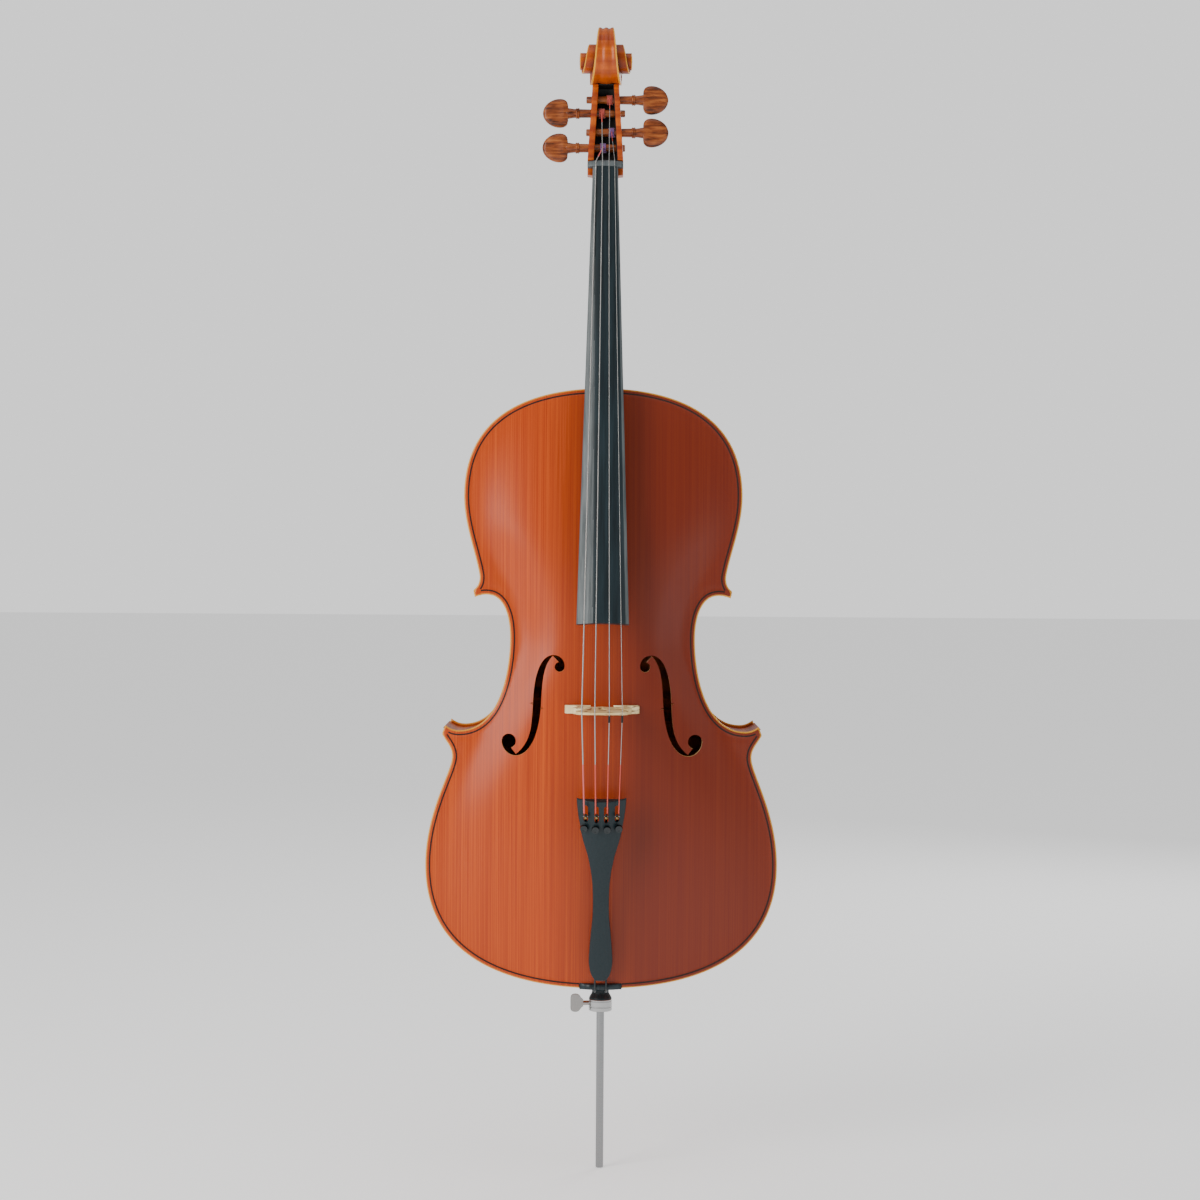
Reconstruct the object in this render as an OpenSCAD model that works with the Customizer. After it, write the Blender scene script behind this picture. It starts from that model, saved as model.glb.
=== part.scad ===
// Full-size cello: a hollow carved body, a neck with pegbox and scroll, fingerboard, bridge,
// tailpiece with four built-in fine tuners, and an endpin that slides and is clamped.
// Z runs up the instrument, the strings face -Y and the lowest string is on the -X side.
// The origin is the tip of the endpin, on the floor. Strings count from the lowest: C, G, D, A.

/* [Body] */
// Length of the body over the plates
body_len = 755; // [750:1:760]
// Depth of the ribs
rib_h = 118; // [114:1:120]
// Height of the top plate's arch above its edge
top_arch = 24; // [22:0.5:26]
// Height of the back plate's arch above its edge
back_arch = 26; // [23:0.5:28]
// Thickness of both plates at the edge
edge_t = 4.5; // [4:0.1:5]
// How far the plates stand out past the ribs
overhang = 4; // [3.5:0.1:4.5]
// Thickness of the ribs
rib_t = 1.8; // [1.5:0.1:2]
// Width of the purfling
purf_w = 2; // [1.4:0.1:2.2]
// Distance from the plate's edge to the middle of the purfling
purf_in = 5.5; // [5:0.1:6]

/* [Neck and fingerboard] */
// Height of the nut's lower edge above the top of the body
neck_len = 282.5; // [280:0.5:284]
// Width of the fingerboard at the nut
board_w_nut = 32; // [30:0.5:33]
// Width of the fingerboard at its lower end
board_w_end = 64.5; // [62:0.5:66]
// Radius of the fingerboard's curved face
board_r = 62; // [60:1:66]
// Rise of the fingerboard's middle line for each millimetre down it
board_slope = 0.18; // [0.175:0.001:0.185]
// Height of the fingerboard's face over the plate's edge at the top of the body
board_over = 33; // [32:0.5:34]
// Depth of the neck under the fingerboard
neck_t = 18.5; // [17:0.5:20]
// Width of the pegbox at the nut
pegbox_w = 45.5; // [44:0.5:46]

/* [Strings and bridge] */
// Distance of the bridge from the top of the body
body_stop = 402; // [400:1:404]
// Height of the bridge's crown over the plate's edge
bridge_top = 114.5; // [112:0.5:116]
// Width of the bridge over its feet
bridge_w = 93; // [90:1:94]
// Diameters of the strings
string_d = [1.7, 1.35, 1.05, 0.8];

/* [Tailpiece] */
// Length of the tailpiece
tail_len = 240; // [236:1:242]
// Angle between the tailpiece and the body
tail_angle = 16; // [15.5:0.1:16.5]

/* [Endpin] */
// Length of rod that shows below the collar
rod_out = 201; // [120:1:260]
// Diameter of the rod
rod_d = 10; // [8:2:10]
// Whole length of the rod
rod_len = 480; // [440:10:500]

/* [Hidden] */

$fn = 48;
eps = 0.01;
plug_drop = 39;                       // the endpin's collar ends this far below the body
body_z = rod_out + plug_drop;         // height of the body's lower edge
half_w = 221.3;                       // half the width of the lower bout
joint_y = rib_h / 2;                  // the ribs meet the plates at +-joint_y
face_y = -joint_y - edge_t;           // front face of the top plate's edge
wood = [0.72, 0.30, 0.10];
maple = [0.66, 0.36, 0.16];
pale_wood = [0.86, 0.70, 0.47];
black = [0.14, 0.18, 0.20];
steel = [0.78, 0.79, 0.80];
rosewood = [0.46, 0.25, 0.17];
silk = [0.80, 0.27, 0.23];

// ---- Curves ----

// Points of a cubic curve from p0, with handles p1 and p2, to p3, leaving p0 out
function curve(p0, p1, p2, p3, steps) = [
    for (i = [1:steps]) let (t = i / steps, s = 1 - t)
        s*s*s*p0 + 3*s*s*t*p1 + 3*s*t*t*p2 + t*t*t*p3
];

// A chain of cubic curves from start: each row is [handle, handle, end, steps]
function chain(start, rows, i = 0) = i == len(rows) ? [] :
    concat(curve(start, rows[i][0], rows[i][1], rows[i][2], rows[i][3]),
           chain(rows[i][2], rows, i + 1));

function reversed(pts) = [for (i = [len(pts) - 1:-1:0]) pts[i]];
function flipped(pts) = [for (p = reversed(pts)) [-p[0], p[1]]];

// ---- Outline of the body, as [half width, height above the lower edge] ----

stretch = body_len / 755;
outline_rows = [
    [[70, 755], [175, 735], [175.2, 620], 14],              // upper bout
    [[175.2, 582], [160, 548], [155, 518], 8],
    [[154.6, 508], [159, 503], [163, 500.5], 4],            // upper corner
    [[162.4, 497.5], [161.6, 494.5], [161, 491.5], 1],      // its blunt end
    [[153, 495], [146, 495.5], [140, 494], 4],
    [[124, 490], [116.3, 468], [116.3, 440], 8],            // waist
    [[116.3, 395], [130, 324], [180, 324], 14],
    [[187, 324], [193, 327], [197.2, 330.6], 4],            // lower corner
    [[198.6, 326.8], [199.9, 323.1], [201.3, 319.3], 1],    // its blunt end
    [[196, 309], [188.3, 303], [188.3, 291], 4],
    [[188.3, 272], [half_w, 222], [half_w, 155], 10],       // lower bout
    [[half_w, 52], [140, 0], [0, 0], 18]
];
half_outline = [for (p = concat([[0, 755]], chain([0, 755], outline_rows))) [p[0], p[1] * stretch]];

module outline() polygon(concat(
    half_outline, flipped([for (i = [1:len(half_outline) - 2]) half_outline[i]])));
module inside(d) offset(delta = -d) outline();

// ---- Arching ----

// The line where the arch dies out near the edge, cutting across the corners
arch_edge = chain([0, 748], [
    [[80, 748], [166, 724], [166, 620], 16],
    [[166, 540], [107, 520], [107, 440], 14],
    [[107, 370], [212, 290], [212, 155], 18],
    [[212, 60], [130, 8], [0, 8], 18]
]);
arch_table = [for (p = arch_edge) [p[1] * stretch, p[0]]];
arch_low = 8 * stretch;
arch_high = 748 * stretch;

function ease(t) = t * t * (3 - 2 * t);
// Fullness of the arch along the body, at height z above the lower edge
function along(z) = z <= arch_low || z >= arch_high ? 0 :
    ease(1 - pow(abs(2 * (z - arch_low) / (arch_high - arch_low) - 1), 2.6));
// Fullness of the arch across it, with u running from 0 in the middle to 1 at its edge
function across(u) = abs(u) >= 1 ? 0 : ease(1 - pow(abs(u), 2.2));
function arch_half(z, inset) = max(4, lookup(z, arch_table) - inset);
function arch(x, z, height, inset = 0) = height * along(z) * across(x / arch_half(z, inset));

// Inside of a plate: the hollow starts hollow_in further in than the arch
hollow_in = 10;
plate_t = 0.3;                        // a plate's middle is this much thicker than its edge
function top_inner(x, z) = arch(x, z, top_arch - plate_t, hollow_in);
function back_inner(x, z) = arch(x, z, back_arch - plate_t, hollow_in);

plate_rows = 38;
plate_cols = 18;
plate_reach = half_w + 8;             // the uncut plate is this wide on each side

// Heights of the grid's rows, closer together towards both ends of the arch
function row_z(j) = j == 0 ? -4 : j == plate_rows ? body_len + 28 :
    arch_low + (arch_high - arch_low) * (1 - cos(180 * (j - 1) / (plate_rows - 2))) / 2;
// One face of the uncut plate: a grid of points over the whole body
function plate_face(height, inset, lift) = [
    for (j = [0:plate_rows]) let (z = row_z(j))
        for (i = [-1:plate_cols + 1]) let (
            u = 2 * min(max(i, 0), plate_cols) / plate_cols - 1,
            x = i < 0 ? -plate_reach : i > plate_cols ? plate_reach : u * arch_half(z, inset))
            [x, z, lift + height * along(z) * across(u)]
];

// The carved plate before it is sawn out: outer face, inner face and the walls between them
module plate_blank(height) {
    outer = plate_face(height, 0, edge_t);
    inner = plate_face(height - plate_t, hollow_in, 0);
    w = plate_cols + 3;
    n = len(outer);
    polyhedron(concat(outer, inner), concat(
        [for (j = [0:plate_rows - 1]) for (i = [0:w - 2]) let (a = j * w + i)
            for (f = [[a, a + w, a + 1], [a + 1, a + w, a + w + 1]]) f],
        [for (j = [0:plate_rows - 1]) for (i = [0:w - 2]) let (a = n + j * w + i)
            for (f = [[a, a + 1, a + w], [a + 1, a + w + 1, a + w]]) f],
        [for (j = [0:plate_rows - 1]) for (f = [
            [j * w, n + j * w, (j + 1) * w], [n + j * w, n + (j + 1) * w, (j + 1) * w],
            [j * w + w - 1, (j + 1) * w + w - 1, n + j * w + w - 1],
            [n + j * w + w - 1, (j + 1) * w + w - 1, n + (j + 1) * w + w - 1]]) f],
        [for (i = [0:w - 2]) let (b = plate_rows * w) for (f = [
            [i, i + 1, n + i], [i + 1, n + i + 1, n + i],
            [b + i, n + b + i, b + i + 1], [b + i + 1, n + b + i, n + b + i + 1]]) f]
    ));
}

module purfling_ring() difference() {
    inside(purf_in - purf_w / 2);
    inside(purf_in + purf_w / 2);
}
purf_depth = 1.5;

// Puts a drawing in the plane of the plates: its Z becomes the way out of the body
module on_front(y = -joint_y) translate([0, y, body_z]) rotate([90, 0, 0]) children();
module on_back() mirror([0, 1, 0]) on_front() children();

// ---- Sound holes ----

f_outer = chain([107.5, 296], [
    [[88, 312], [88, 330], [86.5, 362], 10], [[85, 405], [73, 420], [61, 420], 9]]);
f_inner = chain([62, 419], [
    [[72, 409], [75, 393], [76, 365], 8], [[77.5, 320], [90, 294], [108.5, 294], 10]]);
f_upper_tip = chain([61, 420], [[[52, 420], [46.5, 413], [47.2, 405.3], 6]]);
f_lower_tip = chain([108.5, 294], [[[117, 294], [125.6, 302], [125.6, 312], 6]]);

module f_hole() {
    polygon(concat([[107.5, 296]], f_outer, [[62, 419]], f_inner));
    polygon(concat([[62, 419], [61, 420]], f_upper_tip, [[53, 405], [54.6, 411.6]]));
    polygon(concat([[107.5, 296], [108.5, 294]], f_lower_tip, [[116, 311], [113.8, 304.1]]));
    translate([53.4, 405.3]) circle(6.2);
    translate([116.6, 312]) circle(9);
    translate([84.5, 359]) square([5, 1.2]);
    translate([74, 353]) square([5, 1.2]);
}

// ---- Blocks and linings, drawn as regions of the inside of the ribs ----

inner_d = overhang + rib_t;
block_t = 24;
block_half = 48;
lining_t = 2.6;
lining_h = 14;

module end_zone() translate([-block_half, 0]) square([2 * block_half, inner_d + block_t]);
module neck_zone() translate([-block_half, body_len - inner_d - block_t]) square([2 * block_half, 40]);
module both_sides() {
    children();
    mirror([1, 0]) children();
}
module upper_corner_zone() both_sides() polygon([[122, 468], [170, 462], [170, 545], [149, 545]]);
module lower_corner_zone() both_sides() polygon([[146, 345], [210, 345], [210, 262], [182, 270]]);

// ---- Ribs ----

heel_half_front = 22.5;               // half width of the neck's heel at its front
heel_half_back = 14.5;                // and at the back plate
glue_nut = 9.5;                       // fingerboard's thickness at the nut, in the middle
glue_body = 13.2;                     // and where the neck meets the body
mortise = 8;                          // the heel is let this deep into the neck block
heel_front_y = face_y - board_over + glue_body;

// Plan of the heel, wide at the front and narrow at the back
module heel_plan(grow = 0) polygon([
    [-heel_half_front - grow, heel_front_y - 2], [heel_half_front + grow, heel_front_y - 2],
    [heel_half_back + grow, joint_y], [-heel_half_back - grow, joint_y]
]);
module heel_pocket() translate([0, 0, body_z + body_len - mortise]) linear_extrude(40) heel_plan();

// Lines through the corners, from the middle outwards, where one rib ends and the next begins
upper_cut = [[0, 520], [135, 508], [163, 496.2], [190, 487]];
lower_cut = [[0, 300], [175, 312], [200, 324.8], [230, 332]];
zone_w = 260;
module rib_zone_upper() polygon(concat([[0, body_len + 5], [190, body_len + 5]], reversed(upper_cut)));
module rib_zone_middle() polygon(concat(upper_cut, [[230, 400]], reversed(lower_cut)));
module rib_zone_lower() polygon(concat(lower_cut, [[zone_w, 332], [zone_w, -5], [0, -5]]));

module rib(side) on_front(joint_y) linear_extrude(rib_h) intersection() {
    difference() {
        inside(overhang);
        inside(inner_d);
    }
    mirror([side < 0 ? 1 : 0, 0]) children();
}
module rib_upper(side) color(maple) difference() {
    rib(side) rib_zone_upper();
    heel_pocket();
}
module rib_middle(side) color(maple) rib(side) rib_zone_middle();
module rib_lower(side) color(maple) difference() {
    rib(side) rib_zone_lower();
    plug_bore();
}

module linings() color(pale_wood) linear_extrude(lining_h) difference() {
    inside(inner_d);
    inside(inner_d + lining_t);
    end_zone();
    neck_zone();
    upper_corner_zone();
    lower_corner_zone();
}
module linings_top() on_front(-joint_y + lining_h) linings();
module linings_back() on_front(joint_y) linings();

module block(grow = 0) on_front(joint_y) linear_extrude(rib_h) intersection() {
    inside(inner_d + grow);
    children();
}
module neck_block() color(pale_wood) difference() {
    block() neck_zone();
    heel_pocket();
}
module end_block() color(pale_wood) difference() {
    block() end_zone();
    plug_bore();
}
module corner_blocks_upper() color(pale_wood) block() upper_corner_zone();
module corner_blocks_lower() color(pale_wood) block() lower_corner_zone();

// ---- Plates ----

saddle_w = 53;
saddle_h = 7;
button_r = 15;
button_up = 6;                        // centre of the button's round end above the body

module top_plate() color(wood) on_front() resize([2 * half_w, 0, 0]) difference() {
    intersection() {
        plate_blank(top_arch);
        linear_extrude(60) outline();
    }
    translate([0, 0, edge_t - purf_depth]) linear_extrude(20) purfling_ring();
    translate([0, 0, -1]) linear_extrude(60) {
        both_sides() f_hole();
        translate([-saddle_w / 2, -5]) square([saddle_w, saddle_h + 5]);
        translate([-heel_half_front, body_len - mortise]) square([2 * heel_half_front, 20]);
    }
}

module back_plate() color(maple) on_back() resize([2 * half_w, 0, 0]) difference() {
    intersection() {
        plate_blank(back_arch);
        linear_extrude(60) {
            outline();
            translate([0, body_len + button_up]) circle(button_r);
            translate([-button_r, body_len - 8]) square([2 * button_r, 8 + button_up]);
        }
    }
    translate([0, 0, edge_t - purf_depth]) linear_extrude(20) purfling_ring();
}

module purfling_top() color("#3a2018") on_front(face_y + purf_depth) linear_extrude(purf_depth) difference() {
    purfling_ring();
    translate([-saddle_w / 2, -5]) square([saddle_w, saddle_h + 5]);
    translate([-heel_half_front, body_len - mortise]) square([2 * heel_half_front, 20]);
}
module purfling_back() color("#3a2018") mirror([0, 1, 0])
    on_front(face_y + purf_depth) linear_extrude(purf_depth) purfling_ring();

// ---- Bar and post inside ----

bridge_z = body_len - body_stop;      // above the body's lower edge
bar_x = -29;
bar_w = 11;
bar_low = 95;
bar_high = 680;
bar_steps = 24;
post_x = 34;
post_d = 11;
post_z = bridge_z - 15;

function bar_roof(z) = min(top_inner(bar_x - bar_w / 2, z), top_inner(bar_x + bar_w / 2, z)) - 0.1;
function bar_depth(z) = 5 + 19 * sin(180 * (z - bar_low) / (bar_high - bar_low));

module bass_bar() color(pale_wood) translate([bar_x - bar_w / 2, 0, body_z])
    rotate([90, 0, 90]) linear_extrude(bar_w) polygon(concat(
        [for (i = [0:bar_steps]) let (z = bar_low + i * (bar_high - bar_low) / bar_steps)
            [-joint_y - bar_roof(z), z]],
        [for (i = [bar_steps:-1:0]) let (z = bar_low + i * (bar_high - bar_low) / bar_steps)
            [-joint_y - bar_roof(z) + bar_depth(z), z]]));

post_front = joint_y + top_inner(post_x + post_d / 2, post_z) - 0.1;
post_back = joint_y + back_inner(post_x + post_d / 2, post_z) - 0.1;
module sound_post() color(pale_wood) translate([post_x, -post_front, body_z + post_z])
    rotate([-90, 0, 0]) cylinder(d = post_d, h = post_front + post_back);

// ---- Fingerboard, in its own frame: Z runs up its middle line to the nut, -Y is out ----

board_tilt = atan(board_slope);
nut_z = body_len + neck_len;          // the nut's lower edge, above the body's lower edge
board_low = 462;                      // the fingerboard's lower end, likewise
board_len = (nut_z - board_low) / cos(board_tilt);
function board_d(z) = board_over + board_slope * (body_len - z);
glue_end = glue_nut + (glue_body - glue_nut) * board_len / (neck_len / cos(board_tilt));

module at_board() translate([0, face_y - board_d(nut_z), body_z + nut_z])
    rotate([-board_tilt, 0, 0]) children();

flat_x = 12;                          // the flat for the lowest string starts this far over
flat_y = board_r - sqrt(board_r * board_r - flat_x * flat_x);
flat_turn = 23;
scoop_r = 40;
scoop_z = -board_len + 240;

module fingerboard() color(black) at_board() difference() {
    intersection() {
        translate([0, board_r, -board_len]) cylinder(r = board_r, h = board_len, $fn = 96);
        translate([0, 40, 0]) rotate([90, 0, 0]) linear_extrude(60) polygon([
            [-board_w_nut / 2, 0], [board_w_nut / 2, 0],
            [board_w_end / 2, -board_len], [-board_w_end / 2, -board_len]]);
        translate([-40, 0, 0]) rotate([90, 0, 90]) linear_extrude(80) polygon([
            [-5, 0], [glue_nut, 0], [glue_end, -board_len], [-5, -board_len]]);
    }
    translate([-flat_x, flat_y, -board_len - 1]) rotate([0, 0, 180 - flat_turn])
        cube([40, 20, board_len + 2]);
    translate([0, glue_end - 8 + scoop_r, -board_len - 1]) cylinder(r = scoop_r, h = scoop_z + board_len + 1);
}

// ---- Neck, pegbox and scroll ----

// Depth of the pegbox's front face, which leans back, at height z above the lower edge
pegbox_lean = 0.325;
function pegbox_front(z) = -24 - pegbox_lean * (z - 1046);
eye_z = 1179.4;
eye_d = -66;
throat_z = 1150;

// Radius of the scroll's spiral after turning by a from the top of its outer turn
spiral = [[-120, 47], [-90, 46.5], [0, 44], [90, 37.5], [180, 30], [270, 25.5],
          [360, 22.3], [450, 18.5], [540, 15.5], [630, 13], [720, 11], [1080, 10.5]];
// Half width of the scroll along the same spiral
scroll_half = [[0, 9], [90, 14], [180, 20.5], [360, 21.5], [540, 31], [720, 33.5]];
function on_spiral(a, inset = 0) = let (r = lookup(a, spiral) - inset)
    [eye_d + r * sin(a), eye_z + r * cos(a)];
function deep(pts) = [for (p = pts) [face_y - p[0], p[1]]];

// Draws [depth, height] points as a plate across the instrument, half_x to each side
module across_plate(pts, half_x) translate([-half_x, 0, body_z]) rotate([90, 0, 90])
    linear_extrude(2 * half_x) polygon(deep(pts));
// Draws [x, height] points as a prism from front to back
module through_plate(pts) translate([0, 100, body_z]) rotate([90, 0, 0]) linear_extrude(300) polygon(pts);
function mirrored(pts) = concat(pts, flipped(pts));

throat_turn = 160;                    // the scroll's underside leaves the pegbox at this turn
head_side = concat(
    [[pegbox_front(1027.5) - 2, 1027.5], [pegbox_front(throat_z - 1), throat_z - 1]],
    [for (a = [throat_turn:-10:-90]) on_spiral(a)],
    curve(on_spiral(-90), on_spiral(-90) + [0, -14], [-92, 1155], [-83, 1136], 5),
    curve([-83, 1136], [-72, 1112], [-62, 1072], [-59, 1052], 6),
    curve([-59, 1052], [-57, 1040], [-50, 1034], [-46.5, 1027.5], 4));
head_front = mirrored([
    [pegbox_w / 2, 1027.5], [pegbox_w / 2, 1046], [17.5, 1140], [16.5, 1165], [9, 1223], [9, 1230]]);

cavity_depth = 20;
cavity_side = [[pegbox_front(1046) + 10, 1046.2], [pegbox_front(throat_z) + 10, throat_z - 3],
               [pegbox_front(throat_z) - cavity_depth + 7, throat_z - 5],
               [pegbox_front(1136) - cavity_depth, 1136], [pegbox_front(1060) - cavity_depth, 1060],
               [pegbox_front(1050) - 12, 1049]];
cavity_front = mirrored([[14.75, 1040], [14.75, 1050], [9.8, 1140], [9.6, 1160]]);

terraces = 10;                        // steps from the scroll's outer turn to its eye
terrace_turn = 66;                    // each one starts this much further round
module volute() for (i = [1:terraces]) {
    a = i * terrace_turn;
    across_plate([for (s = [0:20:360]) on_spiral(a + s, 0.3 * i)], lookup(a + terrace_turn / 2, scroll_half));
}

glue_line = 0.03;                     // thickness of the glue between neck and fingerboard
side_flat = 3;                        // height of the neck's straight sides
// A slice of the neck: flat under the fingerboard and round behind
module neck_slice(z, width, glue) translate([0, glue, z]) linear_extrude(1) {
    intersection() {
        translate([0, side_flat]) scale([1, (neck_t - side_flat) / (width / 2)]) circle(width / 2, $fn = 32);
        translate([-width / 2, 0]) square([width, neck_t]);
    }
    translate([-width / 2, 0]) square([width, side_flat]);
}
neck_foot = -neck_len + 30;
neck_top = -2;
function board_w(z) = board_w_nut + (board_w_end - board_w_nut) * -z / board_len;
function glue_at(z) = glue_nut + glue_line + (glue_end - glue_nut) * -z / board_len;

// A point of the plane where neck and fingerboard meet, z down the board from the nut, as [depth, height]
function glue_point(z) = [board_d(nut_z) - glue_at(z) * cos(board_tilt) - z * sin(board_tilt),
                          nut_z - glue_at(z) * sin(board_tilt) + z * cos(board_tilt)];
// Depth of that plane at height z above the body's lower edge
function glue_d(z) = let (low = glue_point(-board_len), high = glue_point(0))
    low[0] + (high[0] - low[0]) * (z - low[1]) / (high[1] - low[1]);

heel_high = body_len + 50;            // the heel's curve runs out into the neck here
heel_back = glue_d(heel_high) - neck_t + 1.5;
heel_side = concat(
    [[glue_d(body_len - mortise), body_len - mortise], [glue_d(heel_high), heel_high],
     [heel_back, heel_high]],
    curve([heel_back, heel_high], [-20, body_len + 36], [-52, body_len + 30],
          [-edge_t - rib_h, body_len + button_up + button_r - 2], 8),
    [[-edge_t - rib_h, body_len - mortise]]);

module neck() color(maple) difference() {
    union() {
        at_board() hull() {
            neck_slice(neck_foot, board_w(neck_foot), glue_at(neck_foot));
            neck_slice(neck_top - 1, board_w_nut, glue_at(neck_top));
        }
        intersection() {
            across_plate(heel_side, 30);
            translate([0, 0, body_z + body_len - mortise]) linear_extrude(100) heel_plan();
        }
        intersection() {
            across_plate(head_side, 30);
            through_plate(head_front);
        }
        volute();
    }
    intersection() {
        across_plate(cavity_side, 30);
        through_plate(cavity_front);
    }
    nut_seat();
    for (i = [0:3]) at_peg(i) peg_cone(peg_play);
}

nut_h = 8.5;
nut_up = 1.2;                         // the nut stands this much above the fingerboard
// Clears the nut's place and, below it, the glue plane under the fingerboard's upper end
module nut_seat() at_board() translate([-30, 0, 0]) rotate([90, 0, 90]) linear_extrude(60) polygon([
    [glue_nut - 30, nut_h], [glue_nut, nut_h], [glue_nut, 0],
    [glue_at(0), 0], [glue_at(-20), -20], [glue_nut - 30, -20]]);
module nut() color(black) difference() {
    at_board() linear_extrude(nut_h) intersection() {
        translate([-pegbox_w / 2, -nut_up]) square([pegbox_w, glue_nut + nut_up]);
        translate([0, board_r - nut_up]) circle(board_r, $fn = 96);
    }
    for (i = [0:3]) nut_groove(i);
}

// ---- Pegs: each lies along its own X axis, with its head on the far side ----

peg_z = [1064, 1111, 1129.5, 1085];
peg_side = [-1, -1, 1, 1];
peg_back = 12;                        // the pegs' depth behind the pegbox's front face
peg_play = 0.04;
peg_r0 = 5.4;                         // radius at the pegbox's outer wall, on the head's side
peg_taper = 0.02;                     // loss of radius for each millimetre
peg_wall = 22.5;                      // distance of that wall from the middle
collar_x = 34;
head_x = 48.4;
head_len = 31.6;
head_t = 15;

function peg_y(i) = face_y - (pegbox_front(peg_z[i]) - peg_back);
function peg_r(x) = peg_r0 - peg_taper * (peg_wall - x);
module at_peg(i) translate([0, peg_y(i), body_z + peg_z[i]])
    mirror([peg_side[i] < 0 ? 1 : 0, 0, 0]) children();
// The tapered shaft that fills the bores, grown by the play
module peg_cone(play) rotate([0, -90, 0]) translate([0, 0, -30])
    cylinder(r1 = peg_r(30) + play, r2 = peg_r(-30) + play, h = 60);

peg_end = -24;                        // the thin end stands just out of the other wall
module peg(i) color(rosewood) at_peg(i) {
    rotate([0, 90, 0]) rotate_extrude() polygon(concat(
        [[0, peg_end - 1], [peg_r(peg_end) - 1, peg_end - 1], [peg_r(peg_end), peg_end],
         [peg_r(peg_wall), peg_wall], [5.6, collar_x - 0.5], [7, collar_x + 0.5], [7, collar_x + 3.5],
         [5.8, collar_x + 4.5], [6, collar_x + 6], [7.2, head_x], [0, head_x]]));
    translate([head_x - 0.6, 0, 0]) rotate([90, 0, 0]) linear_extrude(head_t, center = true)
        polygon(mirrored_z(chain([0, 6], [
            [[-1, 12], [1, 16], [5, 17.6], 4], [[9, 19.2], [16, 18.8], [22, 15.5], 5],
            [[29, 11.5], [head_len + 0.6, 6], [head_len + 0.6, 0], 6]])));
}
function mirrored_z(pts) = concat(
    [[0, 6]], pts, [for (p = reversed(pts)) if (p[1] > eps) [p[0], -p[1]]], [[0, -6]]);

winding_x = [-3, -5, 5.2, 7.6];
winding_t = 1.4;
winding_play = 0.02;
winding_w = 9;
module winding(i) color(silk) translate([winding_x[i], peg_y(i), body_z + peg_z[i]]) rotate([0, 90, 0])
    difference() {
        cylinder(r = peg_r(peg_side[i] * winding_x[i]) + winding_t, h = winding_w, center = true);
        translate([0, 0, -winding_x[i]]) rotate([0, peg_side[i] < 0 ? 180 : 0, 0])
            translate([0, 0, -30])
                cylinder(r1 = peg_r(-30) + winding_play, r2 = peg_r(30) + winding_play, h = 60);
    }

// ---- Strings ----

nut_x = [-11.9, -3.7, 4.6, 11.7];
bridge_x = [-24.6, -8.8, 8.8, 24.6];
tail_x = [-21.2, -7.1, 7.1, 21.2];
string_stop = 14;                     // the strings end this far below the tailpiece's upper end
function nut_crown(x) = board_d(nut_z + nut_h - 2) + nut_up + sqrt(board_r * board_r - x * x) - board_r;
function bridge_crown(x) = bridge_top + sqrt(board_r * board_r - x * x) - board_r;
// Place of a string's end in its tuner, then the bridge, the nut and the peg
function string_points(i) = [
    tail_point(tail_x[i], string_stop, 1.5),
    [bridge_x[i], face_y - bridge_crown(bridge_x[i]), body_z + bridge_z],
    [nut_x[i], face_y - nut_crown(nut_x[i]), body_z + nut_z + nut_h - 2],
    [winding_x[i], peg_y(i) - peg_r(0) - winding_t - string_d[i] / 2 - 0.3, body_z + peg_z[i]]
];
// A round cord through a list of points, as rings of sides joined one to the next
function unit(v) = v / norm(v);
module cord(pts, d, sides = 8) {
    n = len(pts);
    rings = [for (k = [0:n - 1]) let (
        on = k < n - 1 ? unit(pts[k + 1] - pts[k]) : [0, 0, 0],
        back = k > 0 ? unit(pts[k] - pts[k - 1]) : [0, 0, 0],
        t = unit(on + back),
        side = unit(cross(t, [0, 1, 0.3])), up = cross(side, t))
            for (i = [0:sides - 1]) let (a = i * 360 / sides)
                pts[k] + d / 2 * (cos(a) * side + sin(a) * up)];
    polyhedron(rings, concat(
        [[for (i = [0:sides - 1]) i]],
        [for (k = [0:n - 2]) for (i = [0:sides - 1]) let (a = k * sides, b = a + sides, j = (i + 1) % sides)
            for (f = [[a + i, b + i, b + j], [a + i, b + j, a + j]]) f],
        [[for (i = [sides - 1:-1:0]) (n - 1) * sides + i]]));
}
module rod_between(a, b, d) {
    v = b - a;
    translate(a) rotate([0, acos(v[2] / norm(v)), atan2(v[1], v[0])]) cylinder(d = d, h = norm(v), $fn = 24);
}
module string_wire(i) color(steel) cord(string_points(i), string_d[i]);
groove_play = 0.3;
// The groove that a string lies in where it crosses the bridge
module bridge_groove(i) translate(string_points(i)[1])
    cylinder(d = string_d[i] + groove_play, h = 40, center = true, $fn = 24);
// On the nut the groove bends, and is wider on the side of the string's peg
module nut_groove(i) {
    p = string_points(i);
    for (side = [[1, groove_play], [3, 2.5 * groove_play]]) {
        way = unit(p[side[0]] - p[2]);
        rod_between(p[2] - 0.7 * way, p[2] + 12 * way, string_d[i] + side[1]);
    }
}

sleeve_len = 8.5;
module string_sleeves() color(black) for (i = [2, 3]) {
    p = string_points(i);
    v = (p[0] - p[1]) / norm(p[0] - p[1]);
    difference() {
        rod_between(p[1] + 2.5 * v, p[1] + (2.5 + sleeve_len) * v, 2.6);
        rod_between(p[1], p[1] + 20 * v, string_d[i]);
    }
}

// ---- Bridge: sawn from a board that stands across the body, thick at the feet ----

foot_t = 11;
crown_t = 2.8;
function plate_front(x) = edge_t + arch(x, bridge_z, top_arch) + 0.05;

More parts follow.
